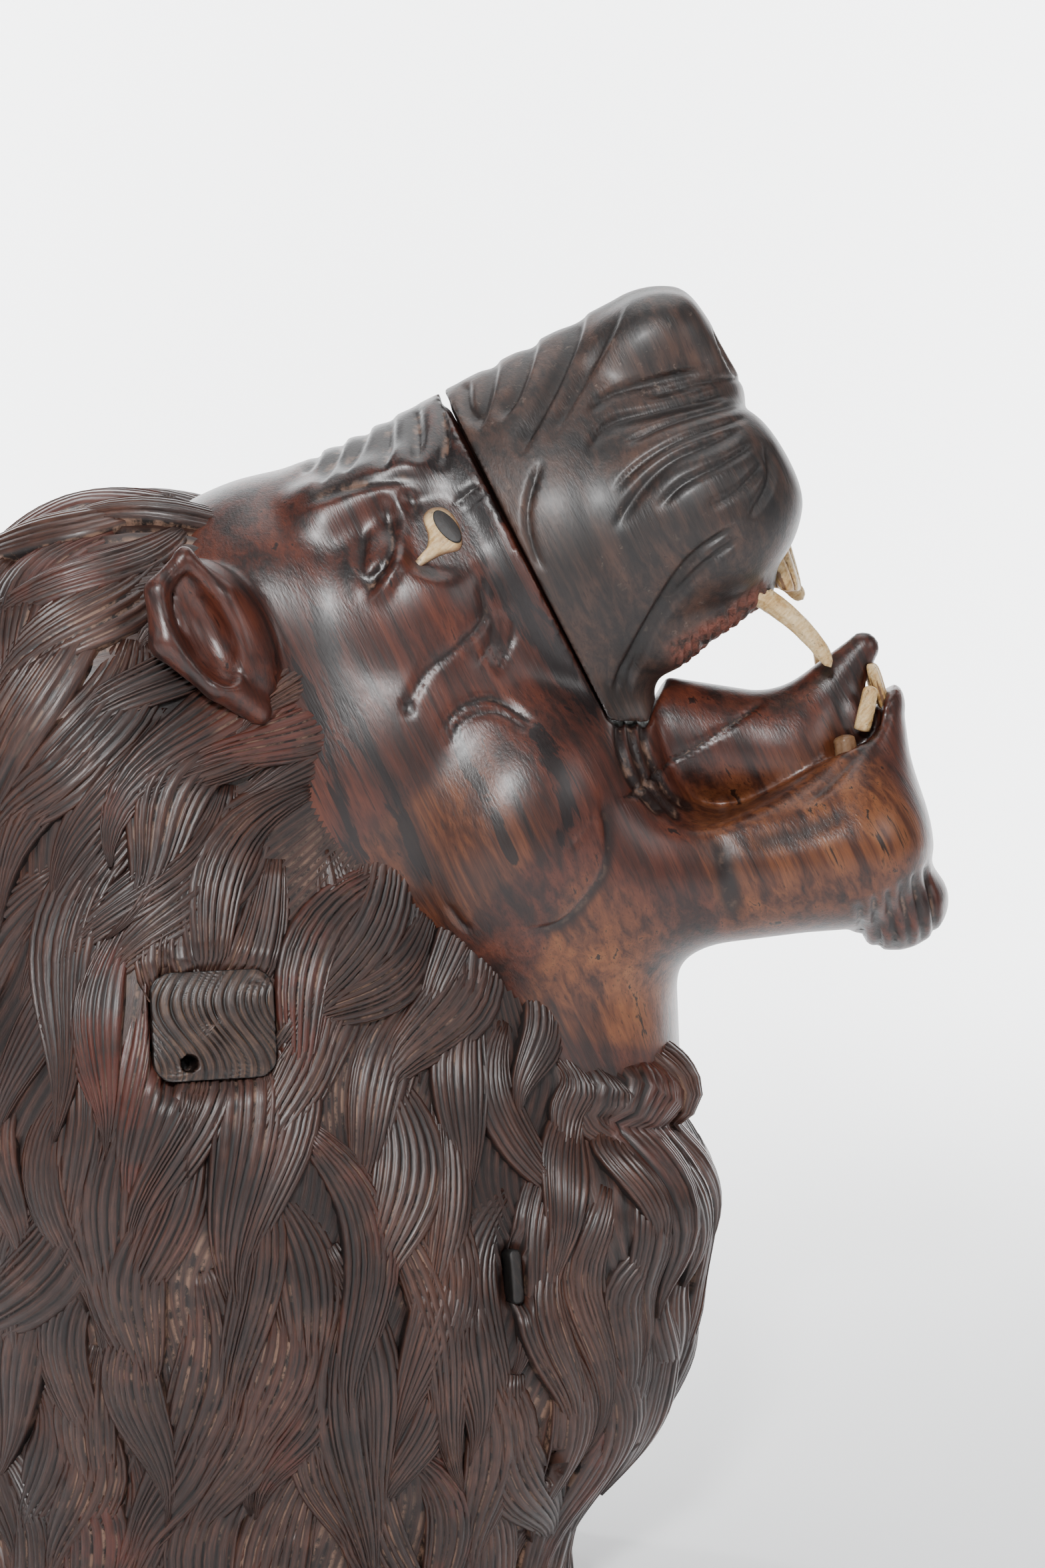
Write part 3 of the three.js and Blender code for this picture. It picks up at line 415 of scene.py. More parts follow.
class Signal:
    """A socket in a material; sums and products of signals and numbers add the Math nodes for them."""

    def __init__(self, tree, socket):
        """Keeps the node tree and the output socket that the signal comes from."""
        self.tree = tree
        self.socket = socket

    def node(self, kind, settings=None, inputs=None, output=0):
        """A new node: its settings first, then the values or links of its sockets."""
        node = self.tree.nodes.new(kind)
        for name, value in (settings or {}).items():
            setattr(node, name, value)
        for name, value in (inputs or {}).items():
            if isinstance(value, Signal):
                self.tree.links.new(value.socket, node.inputs[name])
            else:
                node.inputs[name].default_value = value
        return Signal(self.tree, node.outputs[output] if node.outputs else None)

    def math(self, operation, *values):
        """A Math node on signals or numbers, in the order that its operation takes them."""
        return self.node("ShaderNodeMath", {"operation": operation}, dict(enumerate(values)))

    def __add__(self, other):
        return self.math("ADD", self, other)

    def __sub__(self, other):
        return self.math("SUBTRACT", self, other)

    def __rsub__(self, other):
        return self.math("SUBTRACT", other, self)

    def __mul__(self, other):
        return self.math("MULTIPLY", self, other)

    __radd__ = __add__
    __rmul__ = __mul__

    def between(self, low, high):
        """0 below low and 1 above high, smooth between."""
        return self.node("ShaderNodeMapRange", {"interpolation_type": "SMOOTHSTEP"},
                         {"Value": self, "From Min": low, "From Max": high}, "Result")

    def noise(self, scale, detail=4, roughness=0.6, distortion=0.0):
        """Noise over these coordinates, from 0 to 1 and mostly near 0.5."""
        inputs = {"Vector": self, "Scale": scale, "Detail": detail, "Roughness": roughness,
                  "Distortion": distortion}
        return self.node("ShaderNodeTexNoise", None, inputs, "Fac")

    def mark(self, name):
        """The value painted on the points of the piece under this name."""
        return self.node("ShaderNodeAttribute", {"attribute_name": name}, None, "Fac")

    def ramp(self, *stops):
        """The signal turned into colours: each stop is a place on the ramp and its hex colour."""
        node = self.tree.nodes.new("ShaderNodeValToRGB")
        elements = node.color_ramp.elements
        while len(elements) < len(stops):
            elements.new(0.5)
        for element, (position, hex_color) in zip(elements, stops):
            element.position = position
            element.color = shade(hex_color)
        self.tree.links.new(self.socket, node.inputs["Fac"])
        return Signal(self.tree, node.outputs["Color"])

    def mixed(self, other, share):
        """This colour turned by a share into another, which is a signal or a hex colour."""
        inputs = {"Factor": share, 6: self, 7: shade(other) if isinstance(other, str) else other}
        return self.node("ShaderNodeMix", {"data_type": "RGBA"}, inputs, 2)


def begin(name):
    """A new empty material and the signal of its Object coordinates."""
    material = bpy.data.materials.new(name)
    material.use_nodes = True
    material.node_tree.nodes.clear()
    place = Signal(material.node_tree, None).node("ShaderNodeTexCoord", None, None, "Object")
    return material, place


def finished(place, color, roughness, bumps, coat=0.0):
    """Joins colour, roughness and bumps, each a height with its strength and depth, into the shader."""
    normal = None
    for height, strength, depth in bumps:
        inputs = {"Height": height, "Strength": strength, "Distance": depth}
        if normal is not None:
            inputs["Normal"] = normal
        normal = place.node("ShaderNodeBump", None, inputs, "Normal")
    inputs = {"Base Color": color, "Roughness": roughness, "Normal": normal, "Coat Weight": coat,
              "Coat Roughness": 0.25}
    surface = place.node("ShaderNodeBsdfPrincipled", None, inputs, "BSDF")
    place.node("ShaderNodeOutputMaterial", None, {"Surface": surface})


def grain_of(place, lean, long, across):
    """Object coordinates with the grain along z, which leans forward going down, and measured in lengths
    along and across the grain, so a noise of scale 1 has figures of about that size."""
    return place.node("ShaderNodeMapping", {"vector_type": "TEXTURE"}, {
        "Vector": place, "Rotation": (0, math.radians(-lean), 0), "Scale": (across, across, long)}, "Vector")


# Degrees by which the wood's grain leans forward going down
WOOD_LEAN = 26


def rosewood_grain(place):
    """Three noises drawn out along the leaning grain: broad bands, the figure in them, and the fibre."""
    broad = grain_of(place, WOOD_LEAN, 0.11, 0.018).noise(1.0, 4, 0.6, 0.8)
    figure = grain_of(place, WOOD_LEAN, 0.10, 0.0034).noise(1.0, 5, 0.62, 0.5)
    fibre = grain_of(place, WOOD_LEAN, 0.03, 0.00075).noise(1.0, 3, 0.6)
    return broad, figure, fibre


# Black streaks of the heartwood and its lighter places, side view: (line, half width, soft edge)
BLACK_STREAKS = (
    (((33, 392), (38, 368), (48, 342), (60, 321), (66, 305), (74, 282)), 4, 7),
    (((80, 345), (89, 326), (97, 309), (104, 292)), 2.2, 4.5),
    (((108, 345), (118, 329), (122, 316), (118, 298)), 2.6, 4.5),
    (((93, 400), (112, 374), (124, 358), (136, 343)), 5, 8),
    (((84, 428), (92, 410), (104, 390), (116, 370)), 4, 7),
    (((28, 436), (52, 446), (74, 452)), 11, 14),
    (((20, 374), (34, 346), (43, 315), (48, 295), (62, 272), (84, 252)), 2, 5),
    (((72, 440), (84, 432), (96, 410)), 5, 9),
)
LIGHT_PLACES = (
    (((66, 320), (84, 300), (100, 285)), 20, 20),
    (((170, 285), (215, 300), (245, 320)), 24, 18),
    (((110, 260), (135, 250), (130, 225)), 24, 20),
)
face_wood, place = begin("waxed_rosewood")
broad, figure, fibre = rosewood_grain(place)
blotch = place.noise(16, 4, 0.6)
ripple = broad * 0.45 + figure * 0.4 + blotch * 0.15
color = ripple.ramp((0.38, "#120a09"), (0.45, "#29140f"), (0.53, "#452016"), (0.64, "#643220"))
light_color = ripple.ramp((0.38, "#22110c"), (0.46, "#4a2717"), (0.54, "#6d4024"), (0.66, "#8a5a34"))
color = color.mixed(light_color, place.mark("light"))
feather = place.mark("dark") + (figure - 0.5) * 3.2 + (broad - 0.5) * 1.4
color = color.mixed("#0a0607", feather.between(0.42, 0.66) * 0.92)
pores = fibre.between(0.56, 0.68)
color = color.mixed("#150a08", pores * 0.55)
# Painted shade: the carved lines are darkened towards near black by their depth, the hollow mark; light dust
# lies in the deepest of them.
pits = place.mark("hollow")
color = color.mixed("#120908", pits.between(0.15, 0.7) * 0.9)
dust = pits.between(0.5, 1.0) * place.noise(160, 3).between(0.48, 0.66)
color = color.mixed("#8a6a58", dust * 0.5)
finished(place, color, 0.2 + fibre * 0.2 + blotch * 0.16, (
    (fibre, 0.3, 0.0004), (figure, 0.15, 0.0005)), 0.12)

# The hollow mark is the depth of the carved lines; the material paints shade into them by it.
face_marks = {
    "hollow": np.clip(-face_moved / 1.6, 0, 1),
    "dark": painted(face_points, BLACK_STREAKS),
    "light": 0.9 * painted(face_points, LIGHT_PLACES),
}
face = carving("face_jaw_and_ears", face_points, face_faces, face_marks)
face.data.materials.append(face_wood)
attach(face, "root")
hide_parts("lion_head_and_mane")

# The muzzle: a second block of the same wood, nearly black, glued on along a straight joint that has
# opened at the top. Long folds run back and down from the nose over the whisker pads.
MUZZLE_STEP = 1.1
NOSTRIL = {"at": (176, 14, 474), "half": (10, 5, 9), "tilt": 28, "soft": 3}
# Inside the wood the muzzle ends at this height
MUZZLE_FLOOR = 330


def muzzle_block(x, y, z):
    """The upper head in front of the joint and above the mouth line, ended inside by a plane."""
    side, half_open = past_joint(x, y, z)
    whole = np.maximum(np.maximum(upper_head(x, y, z), half_open - side), MUZZLE_FLOOR - z)
    return cut_by(whole, ball(x, np.abs(y), z, NOSTRIL), NOSTRIL["soft"])


MUZZLE_CUTS = (
    (((86, 466), (87, 456), (91, 451)), 1.7, 1.0, 3.4, 0.2),
    (((97, 475), (94, 459), (90, 446)), 1.9, 1.0, 3.8, 0.2),
    (((112, 484), (105, 461), (97, 449)), 2.0, 1.0, 4.2, 0.2),
    (((130, 494), (120, 466), (104, 436)), 2.2, 1.0, 5.0, 0.2),
    (((144, 496), (135, 477), (124, 457), (114, 441)), 1.6, 1.2, 4.0, 0.25),
    (((113, 437), (108, 419), (110, 405), (115, 396)), 1.6, 1.0, 1.6, 0.2),
    (((174, 469), (152, 464), (136, 459), (128, 451)), 1.8, 2.6, 1.4, 0.2),
    (((184, 461), (174, 459), (152, 454), (136, 449), (128, 437)), 2.0, 3.2, 1.2, 0.2),
    (((187, 457), (175, 455), (156, 449), (140, 441)), 1.6, 1.8, 0.9, 0.2),
    (((189, 452), (177, 449), (160, 443), (146, 434), (137, 424)), 1.5, 1.8, 0.9, 0.2),
    (((187, 449), (174, 443), (158, 436), (147, 426), (137, 410)), 1.9, 3.2, 1.2, 0.2),
    (((190, 443), (178, 436), (162, 428), (152, 418)), 1.6, 2.0, 0.9, 0.2),
    (((192, 436), (182, 426), (170, 419)), 1.4, 1.8, 0.9, 0.2),
    (((190, 466), (176, 465), (158, 461), (146, 458)), 1.3, 1.6, 0.9, 0.2),
    (((192, 444), (193, 429), (185, 415)), 1.4, 2.0, 1.2, 0.2),
    (((184, 415), (165, 401), (152, 380), (141, 358), (139, 350)), 2.6, 2.0, 1.2, 0.15),
    (((186, 411), (168, 396), (156, 381), (147, 362), (143, 350)), 2.0, 1.2, 2.4, 0.15),
)
muzzle_points, muzzle_faces = carved_net(muzzle_block, (44, -72, 322), (222, 72, 508), MUZZLE_STEP)
muzzle_normals = normals_of(muzzle_points, muzzle_faces)
muzzle_moved = gouge(muzzle_points, muzzle_normals, MUZZLE_CUTS)
muzzle_points = muzzle_points + muzzle_normals * muzzle_moved[:, None]

muzzle_wood, place = begin("waxed_dark_rosewood")
broad, figure, fibre = rosewood_grain(place)
blotch = place.noise(22, 5, 0.65)
ripple = broad * 0.3 + figure * 0.35 + blotch * 0.35
color = ripple.ramp((0.40, "#100c0c"), (0.47, "#211815"), (0.54, "#38261f"), (0.64, "#4d3428"))
color = color.mixed("#0c0808", fibre.between(0.56, 0.68) * 0.5)
# Painted shade: the carved folds are darkened by their depth, the hollow mark.
pits = place.mark("hollow")
color = color.mixed("#0d0807", pits.between(0.2, 0.8) * 0.7)
specks = place.noise(260, 3, 0.7).between(0.60, 0.72) * blotch.between(0.45, 0.58)
color = color.mixed("#77665b", specks * 0.4)
raw = place.mark("raw")
torn = place.noise(190, 4, 0.7)
color = color.mixed("#6e3f33", raw * torn.between(0.35, 0.6))
rough = 0.32 + fibre * 0.18 + blotch * 0.14 + raw * 0.3
finished(place, color, rough, (
    (fibre, 0.35, 0.0004), (figure, 0.2, 0.0006), (torn * raw, 0.9, 0.0022)), 0.1)

# Torn reddish wood along the lip, where the canine is let in
TORN_LIP = ((((158, 364), (172, 371), (186, 380), (198, 390)), 5.5, 2.5),)
TORN = {"depth": 1.1, "sunk": 0.3, "waves": ((0.9, 0.7, 1.1), (1.7, 1.2, 0.6), (0.5, 1.9, 1.6))}
torn_share = painted(muzzle_points, TORN_LIP)
torn_height = sum(np.sin(muzzle_points @ np.array(wave) + n) for n, wave in enumerate(TORN["waves"]))
torn_height = torn_height / len(TORN["waves"]) - TORN["sunk"]
muzzle_points = muzzle_points + muzzle_normals * (torn_share * TORN["depth"] * torn_height)[:, None]
# The hollow mark is the depth of the folds, by which the material paints shade into them.
muzzle_marks = {"hollow": np.clip(-muzzle_moved / 2, 0, 1), "raw": torn_share}
muzzle = carving("muzzle_block", muzzle_points, muzzle_faces, muzzle_marks)
muzzle.data.materials.append(muzzle_wood)
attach(muzzle, "root")
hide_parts("snout_block")

# The mane, carved in one with the head: a rounded ground that follows the bent line of the neck, covered
# with leaf-shaped locks like fish scales, each cut into nine strands that meet in its tip.
MANE = (
    {"at": (-30, 0, 335), "half": (92, 88, 88), "tilt": 10, "soft": 1},
    {"at": (0, 0, 215), "half": (138, 110, 150), "tilt": 0, "soft": 40},
    {"start": (-5, 0, 190), "end": (-5, 0, -60), "radius": (118, 128), "flat": 1.22, "soft": 40},
    {"at": (62, 0, 128), "half": (108, 88, 100), "tilt": -8, "soft": 30},
)
MANE_EDGE = {"half": 62, "grow": 0.55, "slope": 0.85, "soft": 24}
BEARD = (
    {"at": (132, 0, 209), "half": (41, 46, 17), "tilt": -12, "soft": 10},
    {"at": (130, 0, 162), "half": (48, 60, 38), "tilt": -16, "soft": 12},
)
NECK_LINE = ((80, 0, 327), (0, 0, 262), (0, 0, 0))
# The ground's mesh and the search for it from a first radius, then its shallow swaying grooves
GROUND = {"rings": 110, "columns": 400, "first": 20.0, "steps": 45, "pace": 0.8, "sunk": 0.4, "groove": 1.4,
          "sway": 0.05, "sways": 22}
LEAST_REACH = {"t": 40, "angle": 15}
# A lock's mesh, how far roots keep apart, and the ranges that its size, bend and height are drawn from
LOCK = {"seed": 5, "tries": 16000, "apart_along": 29, "apart_across": 12, "rings": 18, "strands": 9,
        "deep": 7, "long": (80, 128), "wide": (9, 15.5), "room": 330, "least_room": 0.45, "lean": 0.2,
        "own_lean": 0.1, "swing": (0.2, 0.65), "lift": (-1.4, 2.0), "tip_lift": (-4.0, 1.5),
        "breadth": (0.45, 1.6), "shoulder": 0.22, "valley": (0.55, 1.3), "uneven": 0.5, "crown": 3.6,
        "cut": 2.1, "lap": (-2.5, 4.0), "swell": (-0.35, 0.4), "narrow": (0.35, 1.04), "above_floor": 0.2}


def mane_ground(x, y, z):
    """The mane's masses, narrowed towards the face by two leaning planes, with the beard added."""
    (px, pz), (nx, nz) = FACE_EDGE["at"], FACE_EDGE["normal"]
    behind = (x - px) * nx + (z - pz) * nz
    half = MANE_EDGE["half"] + MANE_EDGE["grow"] * behind
    sides = (half - np.abs(y)) * MANE_EDGE["slope"]
    narrowed = cut_by(melt(x, np.abs(y), z, MANE), sides, MANE_EDGE["soft"])
    for mass in BEARD:
        narrowed = blend(narrowed, ball(x, np.abs(y), z, mass), mass["soft"])
    return narrowed


def neck_frame(t):
    """The bent line of the neck, a quadratic curve even along its length: its place, and the way back from
    it, square to the line, for t from 0 at the face to 1 at the underside."""
    a, b, c = np.array(NECK_LINE, float)
    even = np.linspace(0, 1, 400)[:, None]
    curve = (1 - even) ** 2 * a + 2 * even * (1 - even) * b + even ** 2 * c
    length = np.concatenate(([0], np.cumsum(np.linalg.norm(np.diff(curve, axis=0), axis=1))))
    s = np.interp(t, length / length[-1], even[:, 0])[..., None]
    place = (1 - s) ** 2 * a + 2 * s * (1 - s) * b + s ** 2 * c
    down = 2 * (1 - s) * (b - a) + 2 * s * (c - b)
    down = down / np.linalg.norm(down, axis=-1)[..., None]
    back = np.stack((down[..., 2], np.zeros(down.shape[:-1]), -down[..., 0]), -1)
    return place, back


def ring_points(t, angle, radius):
    """Places at a radius from the neck line: out = back cos(angle) + left sin(angle)."""
    place, back = neck_frame(t)
    out = back * np.cos(angle)[..., None]
    out[..., 1] += np.sin(angle)
    return place + out * radius[..., None], out


ring_t = np.linspace(0, 1, GROUND["rings"])
ring_angle = np.linspace(0, 2 * math.pi, GROUND["columns"] + 1)
grid_t, grid_angle = np.meshgrid(ring_t, ring_angle, indexing="ij")
grid_radius = np.full(grid_t.shape, GROUND["first"])
for _ in range(GROUND["steps"]):
    at, out = ring_points(grid_t, grid_angle, grid_radius)
    grid_radius -= GROUND["pace"] * mane_ground(at[..., 0], at[..., 1], at[..., 2])
grid_place, grid_out = ring_points(grid_t, grid_angle, grid_radius)


def on_grid(values, t, angle):
    """A value of the mane's grid between its rings and columns, weighted by nearness to four corners."""
    row = np.clip(t, 0, 1) * (GROUND["rings"] - 1)
    column = (angle / (2 * math.pi)) % 1 * GROUND["columns"]
    i = np.minimum(row.astype(int), GROUND["rings"] - 2)
    j = np.minimum(column.astype(int), GROUND["columns"] - 1)
    u, v = row - i, column - j
    if values.ndim > 2:
        u, v = u[..., None], v[..., None]
    return ((1 - u) * ((1 - v) * values[i, j] + v * values[i, j + 1])
            + u * ((1 - v) * values[i + 1, j] + v * values[i + 1, j + 1]))


# How many millimetres one unit of t and of angle are, never less than a least reach, and which way is out
along_t = np.gradient(grid_place, ring_t, axis=0)
along_angle = np.gradient(grid_place, ring_angle, axis=1)
reach_t = np.maximum(np.linalg.norm(along_t, axis=2), LEAST_REACH["t"])
reach_angle = np.maximum(np.linalg.norm(along_angle, axis=2), LEAST_REACH["angle"])
outward = np.cross(along_t, along_angle)
outward /= np.linalg.norm(outward, axis=2)[..., None] + 1e-9
outward *= np.sign((outward * grid_out).sum(2))[..., None]

# Roots: places drawn evenly over the surface, each kept if no earlier one is too near along or across
draw = np.random.default_rng(LOCK["seed"])
tries_t = draw.uniform(0.0, 1.0, LOCK["tries"])
tries_angle = draw.uniform(0, 2 * math.pi, LOCK["tries"])
area = on_grid(reach_t * reach_angle, tries_t, tries_angle)
keep = draw.uniform(0, area.max(), LOCK["tries"]) < area
tries_t, tries_angle = tries_t[keep], tries_angle[keep]
tries_place = on_grid(grid_place, tries_t, tries_angle)
flow = on_grid(along_t, tries_t, tries_angle)
flow /= np.linalg.norm(flow, axis=1)[:, None]
chosen = []
for n in range(len(tries_t)):
    gap = tries_place[chosen] - tries_place[n]
    down = gap @ flow[n]
    aside = np.sqrt(np.maximum((gap ** 2).sum(1) - down ** 2, 0))
    if not ((down / LOCK["apart_along"]) ** 2 + (aside / LOCK["apart_across"]) ** 2 < 1).any():
        chosen.append(n)
root_t, root_angle = tries_t[chosen], tries_angle[chosen]
count = len(root_t)

# Each lock swings one way and back; neighbours swing alike, by slow waves over the mane. Where the mane is
# pressed together under the chin, locks are shorter and narrower.
slow = np.sin(3 * root_angle + 9 * root_t) + np.sin(5 * root_angle - 14 * root_t + 1.3)
lean = LOCK["lean"] * slow + draw.normal(0, LOCK["own_lean"], count)
swing = draw.uniform(*LOCK["swing"], count)
swing = swing * np.where(draw.uniform(size=count) < 0.5 + 0.35 * np.sign(slow), 1, -1)
room = np.clip(on_grid(reach_t, root_t, root_angle) / LOCK["room"], LOCK["least_room"], 1)
length = draw.uniform(*LOCK["long"], count) * room
width = draw.uniform(*LOCK["wide"], count) * room ** 0.5
lift = draw.uniform(*LOCK["lift"], count)[:, None, None]
tip_lift = draw.uniform(*LOCK["tip_lift"], count)[:, None, None]
steps = np.linspace(0, 1, LOCK["rings"])
path_t, path_angle, path_turn = [root_t], [root_angle], [lean + swing]
for n in range(1, LOCK["rings"]):
    turn = lean + swing * math.cos(1.6 * math.pi * steps[n])
    advance = length / (LOCK["rings"] - 1)
    t, angle = path_t[-1], path_angle[-1]
    path_t.append(t + advance * np.cos(turn) / on_grid(reach_t, t, angle))
    path_angle.append(angle + advance * np.sin(turn) / on_grid(reach_angle, t, angle))
    path_turn.append(turn)
path_t, path_angle, path_turn = (np.stack(run, 1)[..., None] for run in (path_t, path_angle, path_turn))

# Across a lock: a narrow valley and the two shoulders of a ridge to each strand, uneven in place, depth and
# height; below, two hidden points close it. Its half width is a leaf: it swells and narrows to the tip.
ridges = 3 * LOCK["strands"]
column = np.arange(ridges + 1)
breadth = draw.uniform(*LOCK["breadth"], (count, 1, LOCK["strands"]))
ends = np.cumsum(breadth, 2) / breadth.sum(2, keepdims=True)
starts = ends - breadth / breadth.sum(2, keepdims=True)
shoulders = [starts * (1 - k) + ends * k for k in (LOCK["shoulder"], 1 - LOCK["shoulder"])]
inside = np.stack((starts, *shoulders), 3).reshape(count, 1, -1)
across = np.concatenate((inside, np.ones((count, 1, 1))), 2) * 2 - 1
leaf = smoothstep(*LOCK["swell"], steps) * (1 - smoothstep(*LOCK["narrow"], steps)) ** 0.7
leaf = leaf[:, None]
half_width = width[:, None, None] * leaf
valley = (column % 3 == 0) * draw.uniform(*LOCK["valley"], (count, 1, ridges + 1))
uneven = draw.uniform(-LOCK["uneven"], LOCK["uneven"], (count, 1, LOCK["strands"] + 1))
uneven = np.repeat(uneven, 3, axis=2)[..., 2:]
crown = LOCK["crown"] * (1 - across ** 2) * leaf ** 0.5
shingle = LOCK["lap"][0] + LOCK["lap"][1] * smoothstep(0, 0.5, steps)[:, None]
shingle = shingle + tip_lift * smoothstep(0.55, 1.0, steps)[:, None]
top = crown + shingle + lift - (LOCK["cut"] * valley - uneven) * leaf ** 0.35
offset = half_width * across
t_here = path_t - offset * np.sin(path_turn) / on_grid(reach_t, path_t, path_angle)
angle_here = path_angle + offset * np.cos(path_turn) / on_grid(reach_angle, path_t, path_angle)
surface = on_grid(grid_place, t_here, angle_here)
upward = on_grid(outward, t_here, angle_here)
top_points = surface + upward * top[..., None]
edges = (surface - upward * LOCK["deep"])[:, :, [-1, 0]]
lock_points = closed_ends(np.concatenate((top_points, edges), 2))

# What is let into the mane lies level: locks that come this near its face are pushed down under it, up to a
# narrow seam. Near the peg are two bored holes, the lower one worn to a slot.
PRESSED_FROM = 25
PATCH = {"at": (0.5, -97, 244), "normal": (0.26, -0.93, 0.22), "half": (21, 18.5), "corner": 7, "seam": 0.1,
         "wall": 0.9, "under": 6}
PEG = {"at": (103, -71, 148), "normal": (0.44, -0.88, 0.18), "half": (2.2, 9.5), "corner": 1.5, "seam": 0.6,
       "wall": 1.5, "under": 5}
BORE = {"normal": (0.5, -0.86, 0.1), "corner": 1.5, "seam": 0.0, "wall": 0.7, "under": 9}
UPPER_BORE = {**BORE, "at": (108.1, -68.5, 148.1), "half": (1.6, 1.6)}
LOWER_BORE = {**BORE, "at": (115.2, -63.3, 75), "half": (1.7, 4.6)}
LET_IN = (PATCH, PEG, UPPER_BORE, LOWER_BORE)


def plane_of(at, normal):
    """The middle of an inlay and its three directions: along it, up it and out of it."""
    out = np.array(normal) / np.linalg.norm(normal)
    along = np.cross((0, 0, 1), out)
    along /= np.linalg.norm(along)
    return np.array(at, float), along, np.cross(out, along), out


def outside_of(a, b, half, corner):
    """Distance to the outline of a rectangle with round corners, negative inside."""
    u = np.abs(a) - half[0] + corner
    v = np.abs(b) - half[1] + corner
    return np.hypot(np.maximum(u, 0), np.maximum(v, 0)) + np.minimum(np.maximum(u, v), 0) - corner


def pressed(points, inlay):
    """Points over an inlay moved down to under it: fully inside its outline, not at all past its seam."""
    middle, along, up, out = plane_of(inlay["at"], inlay["normal"])
    rel = points - middle
    height = rel @ out
    gap = outside_of(rel @ along, rel @ up, inlay["half"], inlay["corner"]) - inlay["seam"]
    near = (np.abs(height) < PRESSED_FROM) & (height > -inlay["under"])
    share = (1 - smoothstep(0, inlay["wall"], gap)) * near
    return points - ((height + inlay["under"]) * share)[..., None] * out


for inlay in LET_IN:
    lock_points = pressed(lock_points, inlay)
lock_points[..., 2] = np.maximum(lock_points[..., 2], LOCK["above_floor"])

# Marks and UV places of the locks, in millimetres across and along, each lock drawn from another place
ring_count, ring_size = lock_points.shape[1:3]
# The hollow mark, by which the mane's material paints shade: the depth of each valley on the valley columns,
# and full on the closed ends and the hidden underside.
hollow_marks = np.ones((count, ring_count, ring_size))
hollow_marks[:, 1:-1, :-2] = valley
tint_marks = np.broadcast_to(draw.uniform(size=count)[:, None, None], hollow_marks.shape)
run_u = np.zeros((count, ring_count, ring_size))
run_u[:, 1:-1, :-2] = width[:, None, None] * across
run_u += 100 * draw.uniform(size=count)[:, None, None]
run_v = np.broadcast_to(np.linspace(0, 1, ring_count)[:, None] * length[:, None, None], run_u.shape)
lock_uv = np.stack((run_u, run_v), -1)
lock_faces = ring_faces(ring_count, ring_size)


def hair_of(place):
    """Fine noise drawn out along the carved hair: the UV places, scaled much less along it than across."""
    uv = place.node("ShaderNodeUVMap", None, None, "UV")
    long = uv.node("ShaderNodeMapping", None, {"Vector": uv, "Scale": (1.3, 0.07, 1)}, "Vector")
    return long.noise(1.0, 4, 0.65)


mane_wood, place = begin("carved_mane_wood")
hair = hair_of(place)
worn = place.noise(28, 5, 0.65)
grime = place.noise(130, 5, 0.7)
ripple = worn * 0.45 + hair * 0.55
color = ripple.ramp((0.36, "#170d0b"), (0.47, "#2d1b16"), (0.57, "#442a21"), (0.7, "#634134"))
color = color.mixed("#5c2218", place.mark("tint").between(0.7, 1.0) * worn.between(0.45, 0.6) * 0.4)
# Painted shade: the valleys, the closed lock ends, the hidden undersides and the ground's grooves are
# darkened near black by the hollow mark; tan dust lies in patches in the valleys.
valleys = place.mark("hollow")
color = color.mixed("#0d0605", valleys.between(0.1, 0.7) * 0.92)
dusty = place.noise(14, 3, 0.6).between(0.46, 0.58) * valleys.between(0.25, 0.7) * grime.between(0.42, 0.58)
color = color.mixed("#9a7763", dusty * 0.6)
rough = 0.25 + grime * 0.26 + valleys * 0.2
finished(place, color, rough, ((hair, 0.4, 0.0006), (grime, 0.25, 0.0005)), 0.1)

# Four pieces, one for the locks rooted in each quarter round the neck, and then the ground between them
quarter = np.floor(((root_angle / (2 * math.pi)) % 1) * 4).astype(int)
for n, name in enumerate(("locks_back_left", "locks_front_left", "locks_front_right", "locks_back_right")):
    which = np.flatnonzero(quarter == n)
    points = lock_points[which].reshape(-1, 3)
    faces = (lock_faces + np.arange(len(which))[:, None, None] * ring_count * ring_size).reshape(-1, 4)
    marks = {"hollow": hollow_marks[which].ravel(), "tint": tint_marks[which].ravel()}
    locks = carving("mane_" + name, points, faces, marks, lock_uv[which].reshape(-1, 2))
    locks.data.materials.append(mane_wood)
    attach(locks, "root")
    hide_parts("lion_head_and_mane")

columns = GROUND["columns"]
strand = np.arange(columns) % 2
ground_t, ground_angle = grid_t[:, :-1], grid_angle[:, :-1]
ground_angle = ground_angle + GROUND["sway"] * np.sin(GROUND["sways"] * ground_t + 3 * ground_angle)
sunk = GROUND["sunk"] + GROUND["groove"] * strand
ground_points = on_grid(grid_place, ground_t, ground_angle)
ground_points -= on_grid(outward, ground_t, ground_angle) * sunk[:, None]
for inlay in LET_IN:
    ground_points = pressed(ground_points, inlay)
ground_points[..., 2] = np.maximum(ground_points[..., 2], 0)
ground_points[-1, :, 2] = 0
ground_points = closed_ends(ground_points)
rows = len(ground_points)
ground_points = ground_points.reshape(-1, 3)
ground_faces = ring_faces(rows, columns)
ground_uv = np.stack((np.tile(2.0 * np.arange(columns), rows), np.repeat(3.0 * np.arange(rows), columns)), 1)
# Painted shade: the groove columns of the ground get a higher hollow mark than its ridges, so they are
# painted darker.
ground_marks = {"hollow": np.tile(strand * 0.5 + 0.15, rows), "tint": np.zeros(len(ground_points))}
ground = carving("mane_ground", ground_points, ground_faces, ground_marks, ground_uv)
ground.data.materials.append(mane_wood)
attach(ground, "root")
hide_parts("lion_head_and_mane")

